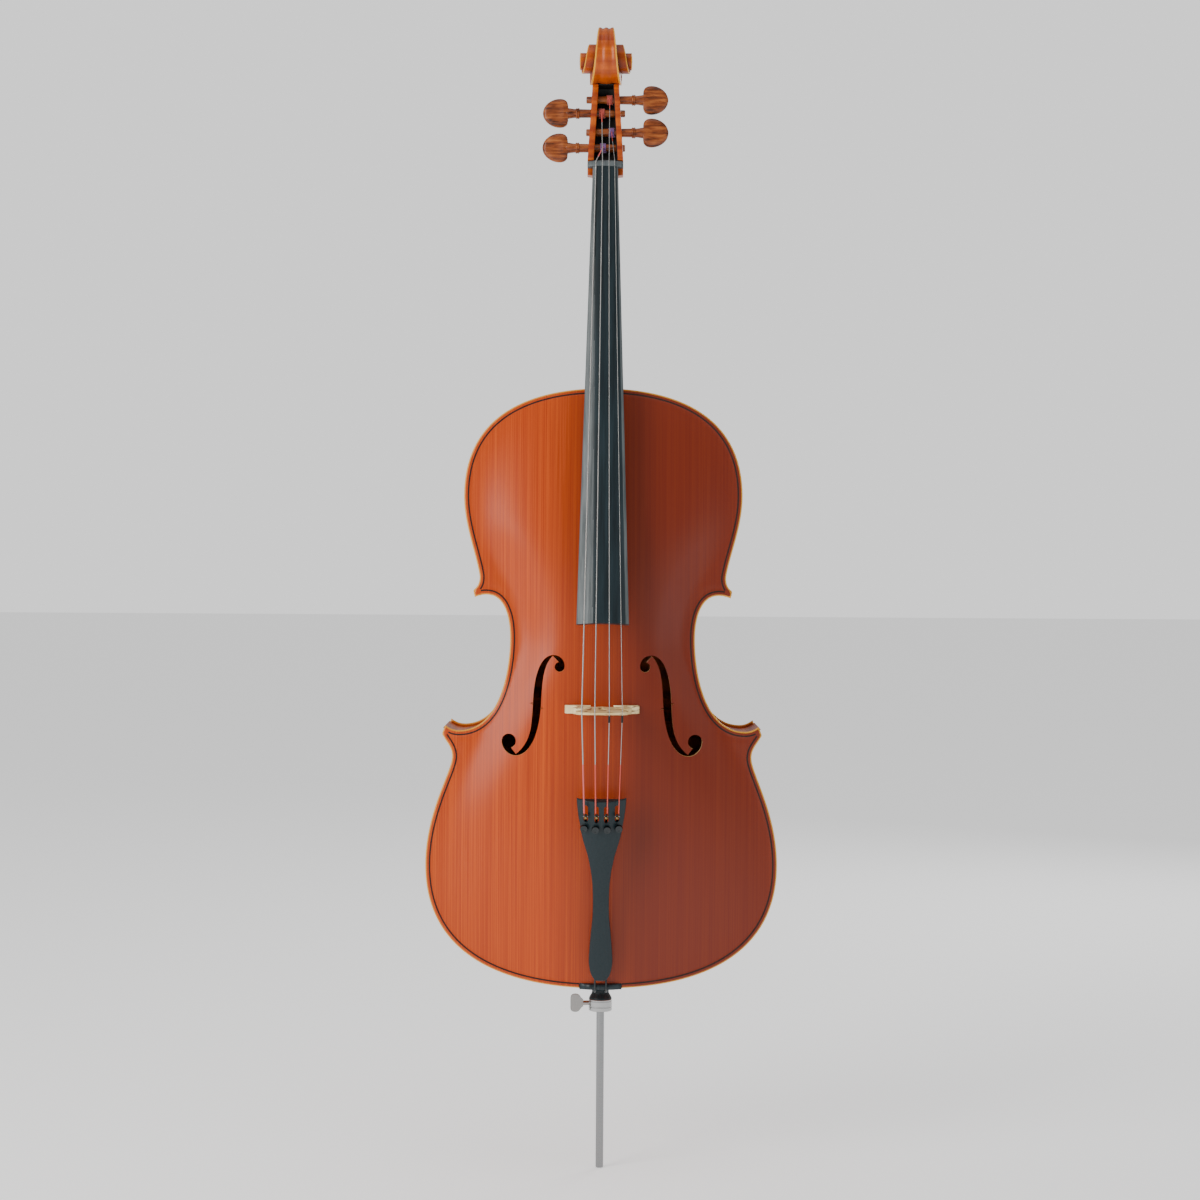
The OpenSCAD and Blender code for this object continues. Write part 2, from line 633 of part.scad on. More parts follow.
foot_in = 14;
bridge_outline = concat(
    [for (x = [bridge_w / 2:-4:foot_in]) [x, plate_front(x) - edge_t]],
    chain([foot_in, plate_front(foot_in) - edge_t], [
        [[14, 30], [17, 33], [22, 34], 4], [[28, 36], [22, 44], [12, 44], 4],
        [[6, 44], [2, 40], [0, 40], 4]]));
bridge_flank = chain([26.5, bridge_crown(26.5)], [
    [[29, 104], [33, 98], [32, 92], 4], [[31, 84], [24, 84], [24, 76], 5], [[24, 68], [33, 66], [36, 58], 5],
    [[38, 50], [30, 42], [31, 36], 5],
    [[32, 30], [44, 30], [bridge_w / 2, plate_front(bridge_w / 2) + 2], 5]]);
bridge_half = concat([for (x = [0:4.4:26.4]) [x, bridge_crown(x)]], bridge_flank, bridge_outline);

module bridge() color(pale_wood) difference() {
    translate([0, face_y, body_z + bridge_z - foot_t / 2]) linear_extrude(foot_t) difference() {
        scale([1, -1]) polygon(concat(bridge_half, flipped([for (p = bridge_half) if (p[0] > eps) p])));
        translate([0, -70]) heart();
        both_sides() translate([19, -61]) kidney();
    }
    bridge_shave();
    for (i = [0:3]) bridge_groove(i);
}
module heart() {
    circle(7);
    translate([-2, -16]) square([4, 16]);
}
module kidney() {
    circle(6);
    translate([3, -3]) circle(5);
}
// Thins the bridge's two faces from the feet to the crown
module bridge_shave() for (side = [-1, 1]) translate([-60, face_y, body_z + bridge_z]) rotate([90, 0, 90])
    linear_extrude(120) polygon([[-26, side * (foot_t / 2 + eps)], [-bridge_top - 5, side * crown_t / 2],
                                 [-bridge_top - 5, side * 20], [-26, side * 20]]);

// ---- Saddle ----

saddle_up = 7;                        // height of its raised middle over the plate's edge
saddle_crown = face_y - saddle_up - 1;
saddle_plan = chain([12, saddle_crown], [
    [[20, saddle_crown], [20, face_y - 1], [saddle_w / 2, face_y - 1], 8]]);
module saddle() color(black) intersection() {
    translate([-saddle_w / 2, 0, body_z]) rotate([90, 0, 90]) linear_extrude(saddle_w) polygon([
        [-joint_y, overhang], [-joint_y, saddle_h], [face_y - 3, saddle_h],
        [face_y - saddle_up + 1, saddle_h - 1.5], [face_y - saddle_up, saddle_h - 3.2],
        [face_y - saddle_up + 0.4, 1.2], [face_y - 5, -0.6], [face_y, -0.6],
        [-joint_y, 0]]);
    translate([0, 0, body_z - 5]) linear_extrude(20) polygon(concat(
        saddle_plan, [[saddle_w / 2, 0], [-saddle_w / 2, 0]], flipped(saddle_plan), [[0, saddle_crown]]));
}

// ---- Tailpiece, in its own frame: s runs down it from its upper end, n points out of it ----

tail_top_z = 243;
tail_top_d = 82;
function tail_point(x, s, n) = [x,
    face_y - tail_top_d + s * sin(tail_angle) - n * cos(tail_angle),
    body_z + tail_top_z - s * cos(tail_angle) - n * sin(tail_angle)];
module at_tail() translate(tail_point(0, 0, 0)) rotate([90 + tail_angle, 0, 0]) mirror([0, 1, 0]) children();

tail_half = [[0, 30.7], [9, 30.1], [22, 28.6], [32, 26.7], [42, 25.3], [55, 22.1], [73, 16.4], [93, 12.5],
             [110, 10.7], [125, 10], [144, 10], [157, 10.4], [177, 12.4], [197, 14], [216, 15], [229, 13],
             [236, 10], [tail_len, 6]];
tail_r = 44;                          // radius of the tailpiece's rounded face
tail_wall = 4.5;                      // thickness of its hollow upper part
slot_x = [-19.2, -5.9, 5.9, 19.2];
slot_w = 5.4;
slot_low = 6;
slot_high = 28;
screw_x = [-21.6, -7.2, 7.2, 21.6];
screw_s = 35;
knob_d = 9.4;
screw_d = 3;
screw_play = 0.05;
pivot_s = 21;
pivot_n = -6.2;
pivot_d = 2;
gut_x = 7;
gut_d = 2.4;
gut_n = -6;

function face_n(x) = sqrt(tail_r * tail_r - x * x) - tail_r;

module tailpiece() color(black) at_tail() difference() {
    intersection() {
        translate([0, 0, -40]) linear_extrude(60) polygon(concat(
            [for (p = tail_half) [p[1], p[0]]], [for (p = reversed(tail_half)) [-p[1], p[0]]]));
        translate([0, -1, -tail_r]) rotate([-90, 0, 0]) cylinder(r = tail_r, h = tail_len + 2, $fn = 96);
        translate([-40, 0, 0]) rotate([90, 0, 90]) linear_extrude(80)
            polygon([[0, 1], [0, -16], [50, -15], [110, -13], [tail_len, -11], [tail_len, 1]]);
    }
    // hollow of the underside
    intersection() {
        translate([0, -1, -tail_r - tail_wall]) rotate([-90, 0, 0]) cylinder(r = tail_r, h = 102, $fn = 96);
        translate([0, 0, -40]) linear_extrude(60) polygon([
            [-27, -2], [27, -2], [25, 28], [19, 55], [12, 80], [7, 100],
            [-7, 100], [-12, 80], [-19, 55], [-25, 28]]);
    }
    for (x = slot_x) slot_cut(x);
    for (x = screw_x) translate([x, screw_s, -30]) cylinder(d = screw_d + 2 * screw_play, h = 40);
    for (x = [-gut_x, gut_x]) translate([x, 190, gut_n]) rotate([-90, 0, 0]) cylinder(d = gut_d, h = 60);
    for (x = [-gut_x, gut_x]) translate([x - 3.2, 178, -20]) cube([6.4, 12.5, 16.8]);
    translate([-30, pivot_s, pivot_n]) rotate([0, 90, 0]) cylinder(d = pivot_d, h = 60);
}
module slot_cut(x) translate([x, 0, -30]) {
    translate([-slot_w / 2, slot_low + slot_w / 2]) cube([slot_w, slot_high - slot_low - slot_w, 40]);
    for (s = [slot_low + slot_w / 2, slot_high - slot_w / 2]) translate([0, s]) cylinder(d = slot_w, h = 40);
}

// Pins that the levers turn on, held in the tailpiece's walls
pin_half = 3.6;
module lever_pins() color(steel) at_tail() for (x = slot_x)
    translate([x - pin_half, pivot_s, pivot_n]) rotate([0, 90, 0]) cylinder(d = pivot_d, h = 2 * pin_half);

lever_w = 2.8;
lever_play = 0.05;
screw_foot = -12.2;
hook_edge = [[string_stop + 5.5, 0.8], [string_stop + 3, 2.2]];
module tuner_lever(i) color("#1d2224") at_tail() translate([slot_x[i] - lever_w / 2, 0, 0]) difference() {
    rotate([90, 0, 90]) linear_extrude(lever_w) polygon([
        [pivot_s - 2.6, pivot_n - 2], [pivot_s + 1, screw_foot - 0.6], [screw_s - 4, screw_foot - 2.6],
        [screw_s + 3, screw_foot - 2.6], [screw_s + 3, screw_foot - 0.1], [screw_s - 6, screw_foot - 0.1],
        [pivot_s + 2.5, pivot_n - 1.8], [pivot_s + 1, pivot_n + 2.6], hook_edge[0], hook_edge[1],
        [string_stop + 1.2, 1.6], [string_stop + 1.8, -1.2]]);
    translate([-5, pivot_s, pivot_n]) rotate([0, 90, 0]) cylinder(d = pivot_d + 2 * lever_play, h = 12);
}

shoulder_d = 5;
shoulder_t = 1.4;
shoulder_gap = 0.5;                   // between the shoulder and the tailpiece's face beside it
knob_t = 4.2;
module tuner_screw(i) color(steel) at_tail() translate([screw_x[i], screw_s, 0]) {
    seat = face_n(abs(screw_x[i]) - shoulder_d / 2) + shoulder_gap;
    translate([0, 0, screw_foot]) cylinder(d = screw_d, h = seat - screw_foot + 0.1);
    translate([0, 0, seat]) cylinder(d = shoulder_d, h = shoulder_t);
    translate([0, 0, seat + shoulder_t - 0.1]) cylinder(d = knob_d, h = knob_t);
}

ball_d = 4;
// The ball rests on the middle of the hook's edge
hook_along = unit(hook_edge[1] - hook_edge[0]);
ball_at = (hook_edge[0] + hook_edge[1]) / 2 + ball_d / 2 * [hook_along[1], -hook_along[0]];
module ball_end(i) color("#c9a35a")
    translate(tail_point(slot_x[i], ball_at[0], ball_at[1])) sphere(d = ball_d);

// ---- Tailgut: two cords from the tailpiece over the saddle and round the plug ----

gut_in_y = -11.5;                     // where the cords enter the plug's groove
gut_in_x = 7;
module tailgut() color("#20282b") for (x = [-gut_x, gut_x]) {
    p = [tail_point(x, 185, gut_n), tail_point(x, tail_len + 1, gut_n),
         [x, face_y - saddle_up - gut_d / 2 - 0.1, body_z + saddle_h - 2.8],
         [x, face_y - saddle_up - gut_d / 2 + 0.2, body_z + 1], [x, face_y - 5.9, body_z - 2.1],
         [sign(x) * gut_in_x, gut_in_y, body_z - 13.5]];
    cord(p, gut_d);
}
module tailgut_nuts() color("#c9a35a") at_tail() for (x = [-gut_x, gut_x]) translate([x, 186, gut_n])
    rotate([-90, 0, 0]) difference() {
        cylinder(d = 5, h = 4);
        translate([0, 0, -1]) cylinder(d = gut_d, h = 6);
    }

// ---- Endpin ----

plug_r0 = 13;                         // radius of the plug where it enters the ribs
plug_top = 30;
plug_taper = 1 / 17;
rod_play = 0.05;
collar_top = -24;
collar_low = -plug_drop;
screw_z = -29.6;
thumb_d = 6;
thumb_gap = 0.06;

plug_play = 0.03;
module plug_bore() translate([0, 0, body_z])
    cylinder(r1 = plug_r0 + plug_play, r2 = plug_r0 + plug_play - 60 * plug_taper, h = 60);
module rod_bore() translate([0, 0, body_z - 60]) cylinder(r = rod_d / 2 + rod_play, h = 120);

module endpin_plug() color(black) difference() {
    translate([0, 0, body_z]) rotate_extrude() polygon([
        [0, collar_top], [14.5, collar_top], [14.5, collar_top + 2],
        [11, -15.5], [11, -12], [14, -10], [14, -2],
        [plug_r0, 0], [plug_r0 - plug_top * plug_taper, plug_top], [0, plug_top]]);
    rod_bore();
}

module endpin_collar() color(steel) difference() {
    translate([0, 0, body_z]) rotate_extrude() polygon([
        [0, collar_low], [14.2, collar_low], [15, collar_low + 0.8],
        [15, -34], [14.4, -33.6], [14.4, -33], [15, -32.6],
        [15, -26.6], [14.4, -26.2], [14.4, -25.6], [15, -25.2],
        [15, collar_top], [0, collar_top]]);
    rod_bore();
    translate([-20, 0, body_z + screw_z]) rotate([0, 90, 0]) cylinder(d = thumb_d + 2 * thumb_gap, h = 20);
}

thumb_x = -22;                        // where its flat plate starts
thumb_t = 4;
thumb_edge = chain([0, -4.5], [
    [[-2, -5], [-3, -7], [-4, -8.5], 3], [[-6, -11.5], [-9, -11.5], [-10, -11.5], 3],
    [[-14, -11.5], [-16.4, -10], [-16.4, -6], 4]]);
module thumb_screw() color(steel) translate([0, 0, body_z + screw_z]) {
    translate([thumb_x - 0.5, 0, 0]) rotate([0, 90, 0])
        cylinder(d = thumb_d, h = -thumb_x + 0.5 - rod_d / 2 - 2 * rod_play);
    translate([thumb_x, thumb_t / 2, 0]) rotate([90, 0, 0]) linear_extrude(thumb_t) polygon(concat(
        [[0, -4.5]], thumb_edge, reversed([for (p = thumb_edge) [p[0], -p[1]]]), [[0, 4.5]]));
}

rod_chamfer = 0.4;
module endpin_rod() color(steel) {
    cylinder(r1 = rod_d / 2 - rod_chamfer, r2 = rod_d / 2, h = rod_chamfer);
    translate([0, 0, rod_chamfer]) cylinder(d = rod_d, h = rod_len - rod_chamfer);
}
// The ring at the rod's upper end that stops it at the plug
stop_h = 5;
module endpin_stop() color(steel) translate([0, 0, rod_len - stop_h - 1]) difference() {
    cylinder(d = rod_d + 5, h = stop_h);
    translate([0, 0, -1]) cylinder(d = rod_d, h = stop_h + 2);
}

top_plate();
back_plate();
purfling_top();
purfling_back();
rib_upper(-1);  // rib_upper_bass
rib_upper(1);  // rib_upper_treble
rib_middle(-1);  // rib_middle_bass
rib_middle(1);  // rib_middle_treble
rib_lower(-1);  // rib_lower_bass
rib_lower(1);  // rib_lower_treble
linings_top();
linings_back();
neck_block();
end_block();
corner_blocks_upper();
corner_blocks_lower();
bass_bar();
sound_post();
neck();
fingerboard();
nut();
saddle();
bridge();
string_wire(0);  // string_c
string_wire(1);  // string_g
string_wire(2);  // string_d
string_wire(3);  // string_a
string_sleeves();
peg(0);  // peg_c
peg(1);  // peg_g
peg(2);  // peg_d
peg(3);  // peg_a
winding(0);  // winding_c
winding(1);  // winding_g
winding(2);  // winding_d
winding(3);  // winding_a
tailpiece();
lever_pins();
tuner_lever(0);  // tuner_lever_c
tuner_lever(1);  // tuner_lever_g
tuner_lever(2);  // tuner_lever_d
tuner_lever(3);  // tuner_lever_a
tuner_screw(0);  // tuner_screw_c
tuner_screw(1);  // tuner_screw_g
tuner_screw(2);  // tuner_screw_d
tuner_screw(3);  // tuner_screw_a
ball_end(0);  // ball_end_c
ball_end(1);  // ball_end_g
ball_end(2);  // ball_end_d
ball_end(3);  // ball_end_a
tailgut();
tailgut_nuts();
endpin_plug();
endpin_collar();
thumb_screw();
endpin_rod();
endpin_stop();
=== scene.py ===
import math

import bmesh
import bpy
import numpy as np
from mathutils import Matrix, Vector
from mathutils.geometry import delaunay_2d_cdt


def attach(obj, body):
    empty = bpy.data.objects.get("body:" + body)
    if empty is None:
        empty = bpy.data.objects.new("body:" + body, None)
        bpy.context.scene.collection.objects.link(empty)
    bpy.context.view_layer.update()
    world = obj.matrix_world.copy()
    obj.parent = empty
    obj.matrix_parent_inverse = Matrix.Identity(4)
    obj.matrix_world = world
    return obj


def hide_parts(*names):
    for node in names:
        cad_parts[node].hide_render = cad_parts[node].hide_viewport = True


# Cello. Lengths here are in millimetres and become metres when a mesh is made.
# +Z runs up the instrument, the strings face -Y, the lowest string is on the -X side.
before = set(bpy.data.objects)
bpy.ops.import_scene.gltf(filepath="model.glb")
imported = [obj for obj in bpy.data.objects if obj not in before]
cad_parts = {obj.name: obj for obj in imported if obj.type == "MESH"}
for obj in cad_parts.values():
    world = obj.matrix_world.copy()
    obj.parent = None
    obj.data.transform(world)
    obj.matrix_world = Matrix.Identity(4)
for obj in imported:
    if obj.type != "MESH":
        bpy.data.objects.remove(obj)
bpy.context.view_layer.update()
print("frame loaded:", len(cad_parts), "nodes")

mm = 0.001
root = "cello_body"
stringNames = ["c", "g", "d", "a"]

body = {
    "z": 240.0,            # lower edge of the body above the floor
    "length": 755.0,
    "ribHalf": 59.0,       # the ribs meet the plates at +-ribHalf
    "edge": 4.5,           # thickness of a plate at its edge
    "overhang": 4.0,
    "rib": 1.8,
    "topArch": 24.0,
    "backArch": 26.0,
}
faceY = -body["ribHalf"] - body["edge"]


# ---- Curves and shapes ----

def cubic(p0, p1, p2, p3, steps):
    # a cubic curve: the four points weighted by (1-t)^3, 3t(1-t)^2, 3t^2(1-t) and t^3, with p0 left out
    t = np.linspace(0, 1, steps + 1)[1:, None]
    s = 1 - t
    p0, p1, p2, p3 = (np.array(p, float) for p in (p0, p1, p2, p3))
    return s**3 * p0 + 3 * s * s * t * p1 + 3 * s * t * t * p2 + t**3 * p3


def chain(start, rows, steps):
    # cubic curves joined end to end from start; each row is handle, handle, end
    parts = [np.array([start], float)]
    for row in rows:
        parts.append(cubic(parts[-1][-1], *row, steps))
    return np.concatenate(parts)


def resample(points, spacing, closed=False):
    # points spaced evenly by arc length along a polyline
    line = np.vstack([points, points[:1]]) if closed else points
    reach = np.concatenate([[0], np.cumsum(np.linalg.norm(np.diff(line, axis=0), axis=1))])
    count = max(2, int(round(reach[-1] / spacing)) + 1)
    at = np.linspace(0, reach[-1], count)
    out = np.stack([np.interp(at, reach, line[:, k]) for k in range(line.shape[1])], axis=1)
    return out[:-1] if closed else out


def ease(t):
    t = np.clip(t, 0, 1)
    return t * t * (3 - 2 * t)


def mirrorX(points):
    # the same points on the other side, in the opposite order
    return points[::-1] * np.array([-1.0] + [1.0] * (points.shape[1] - 1))


def inward(path, distance):
    # each point moved to the right of the way along the path
    way = np.gradient(path, axis=0)
    way /= np.linalg.norm(way, axis=1)[:, None]
    return path + distance * np.stack([way[:, 1], -way[:, 0]], axis=1)


def inside(points, loop):
    # even-odd rule: a point is inside where a ray along +x crosses the loop an odd number of times
    a = np.asarray(loop, float)
    b = np.roll(a, -1, axis=0)
    found = []
    for part in np.array_split(points, max(1, len(points) // 4000)):
        x, y = part[:, :1], part[:, 1:2]
        crosses = (a[:, 1] > y) != (b[:, 1] > y)
        rise = np.where(b[:, 1] == a[:, 1], 1e-12, b[:, 1] - a[:, 1])
        found.append((crosses & (x < (b[:, 0] - a[:, 0]) * (y - a[:, 1]) / rise + a[:, 0])).sum(1) % 2 == 1)
    return np.concatenate(found)


def distanceTo(points, loop):
    # shortest distance from each point to a closed polyline, segment by segment
    a = np.asarray(loop, float)
    way = np.roll(a, -1, axis=0) - a
    size = np.maximum((way * way).sum(1), 1e-12)
    found = []
    for part in np.array_split(points, max(1, len(points) // 3000)):
        rel = part[:, None, :] - a
        t = np.clip((rel * way).sum(2) / size, 0, 1)
        found.append(np.sqrt(((rel - t[:, :, None] * way) ** 2).sum(2).min(1)))
    return np.concatenate(found)


# ---- Meshes ----

def makePiece(name, points, faceSets, rider, slotName, materials, nodes=(), sharp=35, values=None):
    # points in mm; faceSets is a list of (faces with the same number of corners, material index)
    points = np.asarray(points, float).reshape(-1, 3)
    faceSets = [(np.asarray(f, np.int32), m) for f, m in faceSets if len(f)]
    volume = 0.0
    for faces, _ in faceSets:
        for k in range(1, faces.shape[1] - 1):
            a, b, c = points[faces[:, 0]], points[faces[:, k]], points[faces[:, k + 1]]
            volume += (a * np.cross(b, c)).sum() / 6
    if volume < 0:
        faceSets = [(f[:, ::-1], m) for f, m in faceSets]
    sizes = np.concatenate([np.full(len(f), f.shape[1]) for f, _ in faceSets])
    mesh = bpy.data.meshes.new(name)
    mesh.vertices.add(len(points))
    mesh.vertices.foreach_set("co", (points * mm).astype(np.float32).ravel())
    mesh.loops.add(int(sizes.sum()))
    corners = np.concatenate([f.ravel() for f, _ in faceSets])
    slots = np.concatenate([np.full(len(f), m) for f, m in faceSets])
    mesh.loops.foreach_set("vertex_index", corners.astype(np.int32))
    mesh.polygons.add(len(sizes))
    mesh.polygons.foreach_set("loop_start", np.concatenate([[0], np.cumsum(sizes)[:-1]]).astype(np.int32))
    mesh.polygons.foreach_set("material_index", slots.astype(np.int32))
    mesh.polygons.foreach_set("use_smooth", np.ones(len(sizes), bool))
    mesh.update(calc_edges=True)
    for key, data in (values or {}).items():
        mesh.attributes.new(key, "FLOAT", "POINT").data.foreach_set("value", np.asarray(data, np.float32))
    work = bmesh.new()
    work.from_mesh(mesh)
    bmesh.ops.remove_doubles(work, verts=work.verts, dist=1e-6)
    work.to_mesh(mesh)
    work.free()
    mesh.set_sharp_from_angle(angle=math.radians(sharp))
    for material in materials:
        mesh.materials.append(material)
    piece = bpy.data.objects.new(name, mesh)
    bpy.context.scene.collection.objects.link(piece)
    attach(piece, rider)
    if nodes:
        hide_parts(*nodes)
    return piece


def bevel(piece, width, segments):
    rounding = piece.modifiers.new("edge", "BEVEL")
    rounding.width, rounding.segments, rounding.limit_method = width, segments, "ANGLE"


def gridFaces(rows, cols):
    # quads between neighbouring rows of a grid whose rows are closed loops
    i = np.arange(rows - 1)[:, None]
    j = np.arange(cols)[None, :]
    k = (j + 1) % cols
    below, above = i * cols, (i + 1) * cols
    return np.stack([below + j, below + k, above + k, above + j], axis=-1).reshape(-1, 4)


def loft(sections):
    # a skin over closed sections [section, point, xyz], with a flat face at each end
    n, m = sections.shape[:2]
    ends = [[np.arange(m)[::-1]], [(n - 1) * m + np.arange(m)]]
    return sections.reshape(-1, 3), [(gridFaces(n, m), 0), (ends[0], 0), (ends[1], 0)]


def merge(*solids):
    # several (points, faceSets) as one
    points, faceSets, base = [], [], 0
    for p, sets in solids:
        points.append(np.asarray(p).reshape(-1, 3))
        faceSets += [(np.asarray(f) + base, m) for f, m in sets]
        base += len(points[-1])
    return np.concatenate(points), faceSets


def roundOver(away, r):
    # how far a rounded edge of radius r falls: r - sqrt(r^2 - (r - away)^2) within r of the edge
    return r - np.sqrt(np.maximum(0, r * r - np.maximum(0, r - away) ** 2))


def turned(profile, origin, axis, sides=48, ribs=0, ribDepth=0.0, ribSpan=(0, 0)):
    # a lathe: radius and height pairs carried round an axis, with knurls where the height is in ribSpan
    axis = np.array(axis, float) / np.linalg.norm(axis)
    side = np.cross(axis, [0, 0, 1] if abs(axis[2]) < 0.9 else [1, 0, 0])
    side /= np.linalg.norm(side)
    other = np.cross(axis, side)
    a = np.linspace(0, 2 * np.pi, sides, endpoint=False)
    r, h = np.array(profile, float).T
    r = np.repeat(r[:, None], sides, axis=1)
    if ribs:
        band = ((h > ribSpan[0]) & (h < ribSpan[1]))[:, None]
        r = r - band * ribDepth * (0.5 + 0.5 * np.cos(ribs * a))
    ring = np.cos(a)[:, None] * side + np.sin(a)[:, None] * other
    return loft(np.array(origin, float) + r[:, :, None] * ring + h[:, None, None] * axis)


def ringed(profile, origin, axis, sides=64):
    # a lathe whose profile closes on itself round a bore
    points, sets = turned(profile, origin, axis, sides)
    n = len(profile)
    first = np.arange(sides)
    after, base = (first + 1) % sides, (n - 1) * sides
    join = np.stack([base + first, base + after, after, first], axis=1)
    return points, [sets[0], (join, 0)]


def tube(path, radius, sides=12, guide=(0, 1, 0.3)):
    # circles across the path's own direction, joined one to the next
    path = np.asarray(path, float)
    way = np.gradient(path, axis=0)
    way /= np.linalg.norm(way, axis=1)[:, None]
    side = np.cross(way, guide)
    side /= np.linalg.norm(side, axis=1)[:, None]
    up = np.cross(side, way)
    a = np.linspace(0, 2 * np.pi, sides, endpoint=False)
    r = np.broadcast_to(radius, len(path))[:, None, None]
    return loft(path[:, None] + r * (np.cos(a)[:, None] * side[:, None] + np.sin(a)[:, None] * up[:, None]))


def prism(outline, toSpace, low, high):
    # a flat outline pushed from low to high; toSpace turns (u, v, w) into xyz
    ends = [toSpace(np.column_stack([outline, np.full(len(outline), w)])) for w in (low, high)]
    return loft(np.array(ends))


def carve(loops, keep, step, extra=()):
    # a triangulated sheet: edges along the loops, points on a grid of this step, and the triangles
    # that keep() wants
    points, edges = [], []
    for loop in loops:
        first = sum(len(p) for p in points)
        points.append(loop)
        k = np.arange(len(loop))
        edges.append(np.stack([first + k, first + (k + 1) % len(loop)], axis=1))
    low, high = np.concatenate(points).min(0), np.concatenate(points).max(0)
    xs = np.arange(low[0] + step / 2, high[0], step)
    ys = np.arange(low[1] + step / 2, high[1], step)
    gx, gy = np.meshgrid(xs, ys)
    gx[::2] += step / 2
    filler = np.column_stack([gx.ravel(), gy.ravel()])
    far = np.min([distanceTo(filler, loop) for loop in loops], axis=0) > step * 0.45
    everything = np.concatenate(points + [filler[far & keep(filler)]] + list(extra))
    made = delaunay_2d_cdt([Vector(p) for p in everything], np.concatenate(edges).tolist(), [], 0, 1e-5)
    flat = np.array([tuple(v) for v in made[0]])
    tris = np.array([f for f in made[2] if len(f) == 3], np.int32)
    tris = tris[keep(flat[tris].mean(1))]
    used, tris = np.unique(tris, return_inverse=True)
    tris = tris.reshape(-1, 3)
    flat = flat[used]
    ways = np.concatenate([tris[:, [0, 1]], tris[:, [1, 2]], tris[:, [2, 0]]])
    keys = np.sort(ways, axis=1)
    _, index, count = np.unique(keys, axis=0, return_index=True, return_counts=True)
    return flat, tris, ways[index[count == 1]]


def slab(flat, tris, rim, upper, lower, toSpace, rimMaterial=None):
    # a closed sheet between two heights over the same triangles; toSpace turns (u, v, height) into xyz
    n = len(flat)
    points = np.concatenate([toSpace(np.column_stack([flat, h])) for h in (upper, lower)])
    walls = np.stack([rim[:, 1], rim[:, 0], rim[:, 0] + n, rim[:, 1] + n], axis=1)
    kind = np.zeros(len(walls), int) if rimMaterial is None else rimMaterial
    sets = [(tris, 0), (tris[:, ::-1] + n, 0)] + [(walls[kind == k], int(k)) for k in np.unique(kind)]
    return points, sets


# ---- Materials ----

def startMaterial(name, colour, roughness, metallic=0.0, coat=0.0, coatRoughness=0.1, specular=0.5):
    material = bpy.data.materials.new(name)
    material.use_nodes = True
    shader = material.node_tree.nodes["Principled BSDF"]
    shader.inputs["Base Color"].default_value = (*colour, 1)
    shader.inputs["Roughness"].default_value = roughness
    shader.inputs["Metallic"].default_value = metallic
    shader.inputs["Coat Weight"].default_value = coat
    shader.inputs["Coat Roughness"].default_value = coatRoughness
    shader.inputs["Specular IOR Level"].default_value = specular
    return material, shader


def varnished(name, colour, roughness):
    return startMaterial(name, colour, roughness, 0.0, varnish["coat"], varnish["coatRoughness"], varnish["specular"])


def addNode(material, kind, links=(), **settings):
    # a node with its own settings, and links as a list of (socket name, output socket)
    node = material.node_tree.nodes.new(kind)
    for key, value in settings.items():
        setattr(node, key, value)
    for key, output in links:
        material.node_tree.links.new(node.inputs[key], output)
    return node


def objectPlace(material):
    return addNode(material, "ShaderNodeTexCoord").outputs["Object"]


def grain(material, scale, detail=4.0, roughness=0.6, distortion=0.0):
    # noise pulled out along the axes with a small scale
    mapped = addNode(material, "ShaderNodeMapping", [("Vector", objectPlace(material))])
    mapped.inputs["Scale"].default_value = scale
    noise = addNode(material, "ShaderNodeTexNoise", [("Vector", mapped.outputs["Vector"])])
    noise.inputs["Scale"].default_value = 1.0
    noise.inputs["Detail"].default_value = detail
    noise.inputs["Roughness"].default_value = roughness
    noise.inputs["Distortion"].default_value = distortion
    return noise.outputs["Fac"]


def ramp(material, value, stops):
    node = addNode(material, "ShaderNodeValToRGB", [("Fac", value)])
    while len(node.color_ramp.elements) < len(stops):
        node.color_ramp.elements.new(0.5)
    for element, (at, colour) in zip(node.color_ramp.elements, stops):
        element.position = at
        element.color = (*colour, 1) if len(colour) == 3 else colour
    return node.outputs["Color"]


def mix(material, factor, a, b, blend="MIX"):
    node = addNode(material, "ShaderNodeMix", data_type="RGBA", blend_type=blend)
    for socket, value in ((node.inputs[0], factor), (node.inputs[6], a), (node.inputs[7], b)):
        if hasattr(value, "is_output"):
            material.node_tree.links.new(socket, value)
        else:
            socket.default_value = (*value, 1) if isinstance(value, tuple) and len(value) == 3 else value
    return node.outputs[2]


def stretch(material, value, low, high, outLow=0.0, outHigh=1.0):
    node = addNode(material, "ShaderNodeMapRange", [("Value", value)])
    node.inputs["From Min"].default_value = low
    node.inputs["From Max"].default_value = high
    node.inputs["To Min"].default_value = outLow
    node.inputs["To Max"].default_value = outHigh
    return node.outputs["Result"]


def finishMaterial(material, shader, colour=None, rough=None, bump=None, strength=0.1, distance=0.0005):
    join = material.node_tree.links.new
    if colour is not None:
        join(shader.inputs["Base Color"], colour)
    if rough is not None:
        join(shader.inputs["Roughness"], rough)
    if bump is not None:
        node = addNode(material, "ShaderNodeBump", [("Height", bump)])
        node.inputs["Strength"].default_value = strength
        node.inputs["Distance"].default_value = distance
        join(shader.inputs["Normal"], node.outputs["Normal"])
    return material


varnish = {
    "spruceDeep": (0.34, 0.028, 0.0015),
    "spruceLight": (0.62, 0.085, 0.002),
    "spruceBroad": (0.50, 0.055, 0.002),
    # painted shade: the dark brown that the top's right half is mixed towards
    "rightHalfPaintedShade": (0.098, 0.010, 0.005),
    "mapleDeep": (0.22, 0.020, 0.002),
    "mapleLight": (0.62, 0.120, 0.003),
    "mapleFibre": (0.34, 0.045, 0.003),
    # painted shade: the dark brown laid into the scroll's gouge corners
    "gouge": (0.085, 0.010, 0.002),
    # painted highlight: the gold laid along rounded and cut edges
    "goldHighlight": (0.85, 0.40, 0.03),
    "coat": 0.22,
    "coatRoughness": 0.22,
    "specular": 0.22,
}
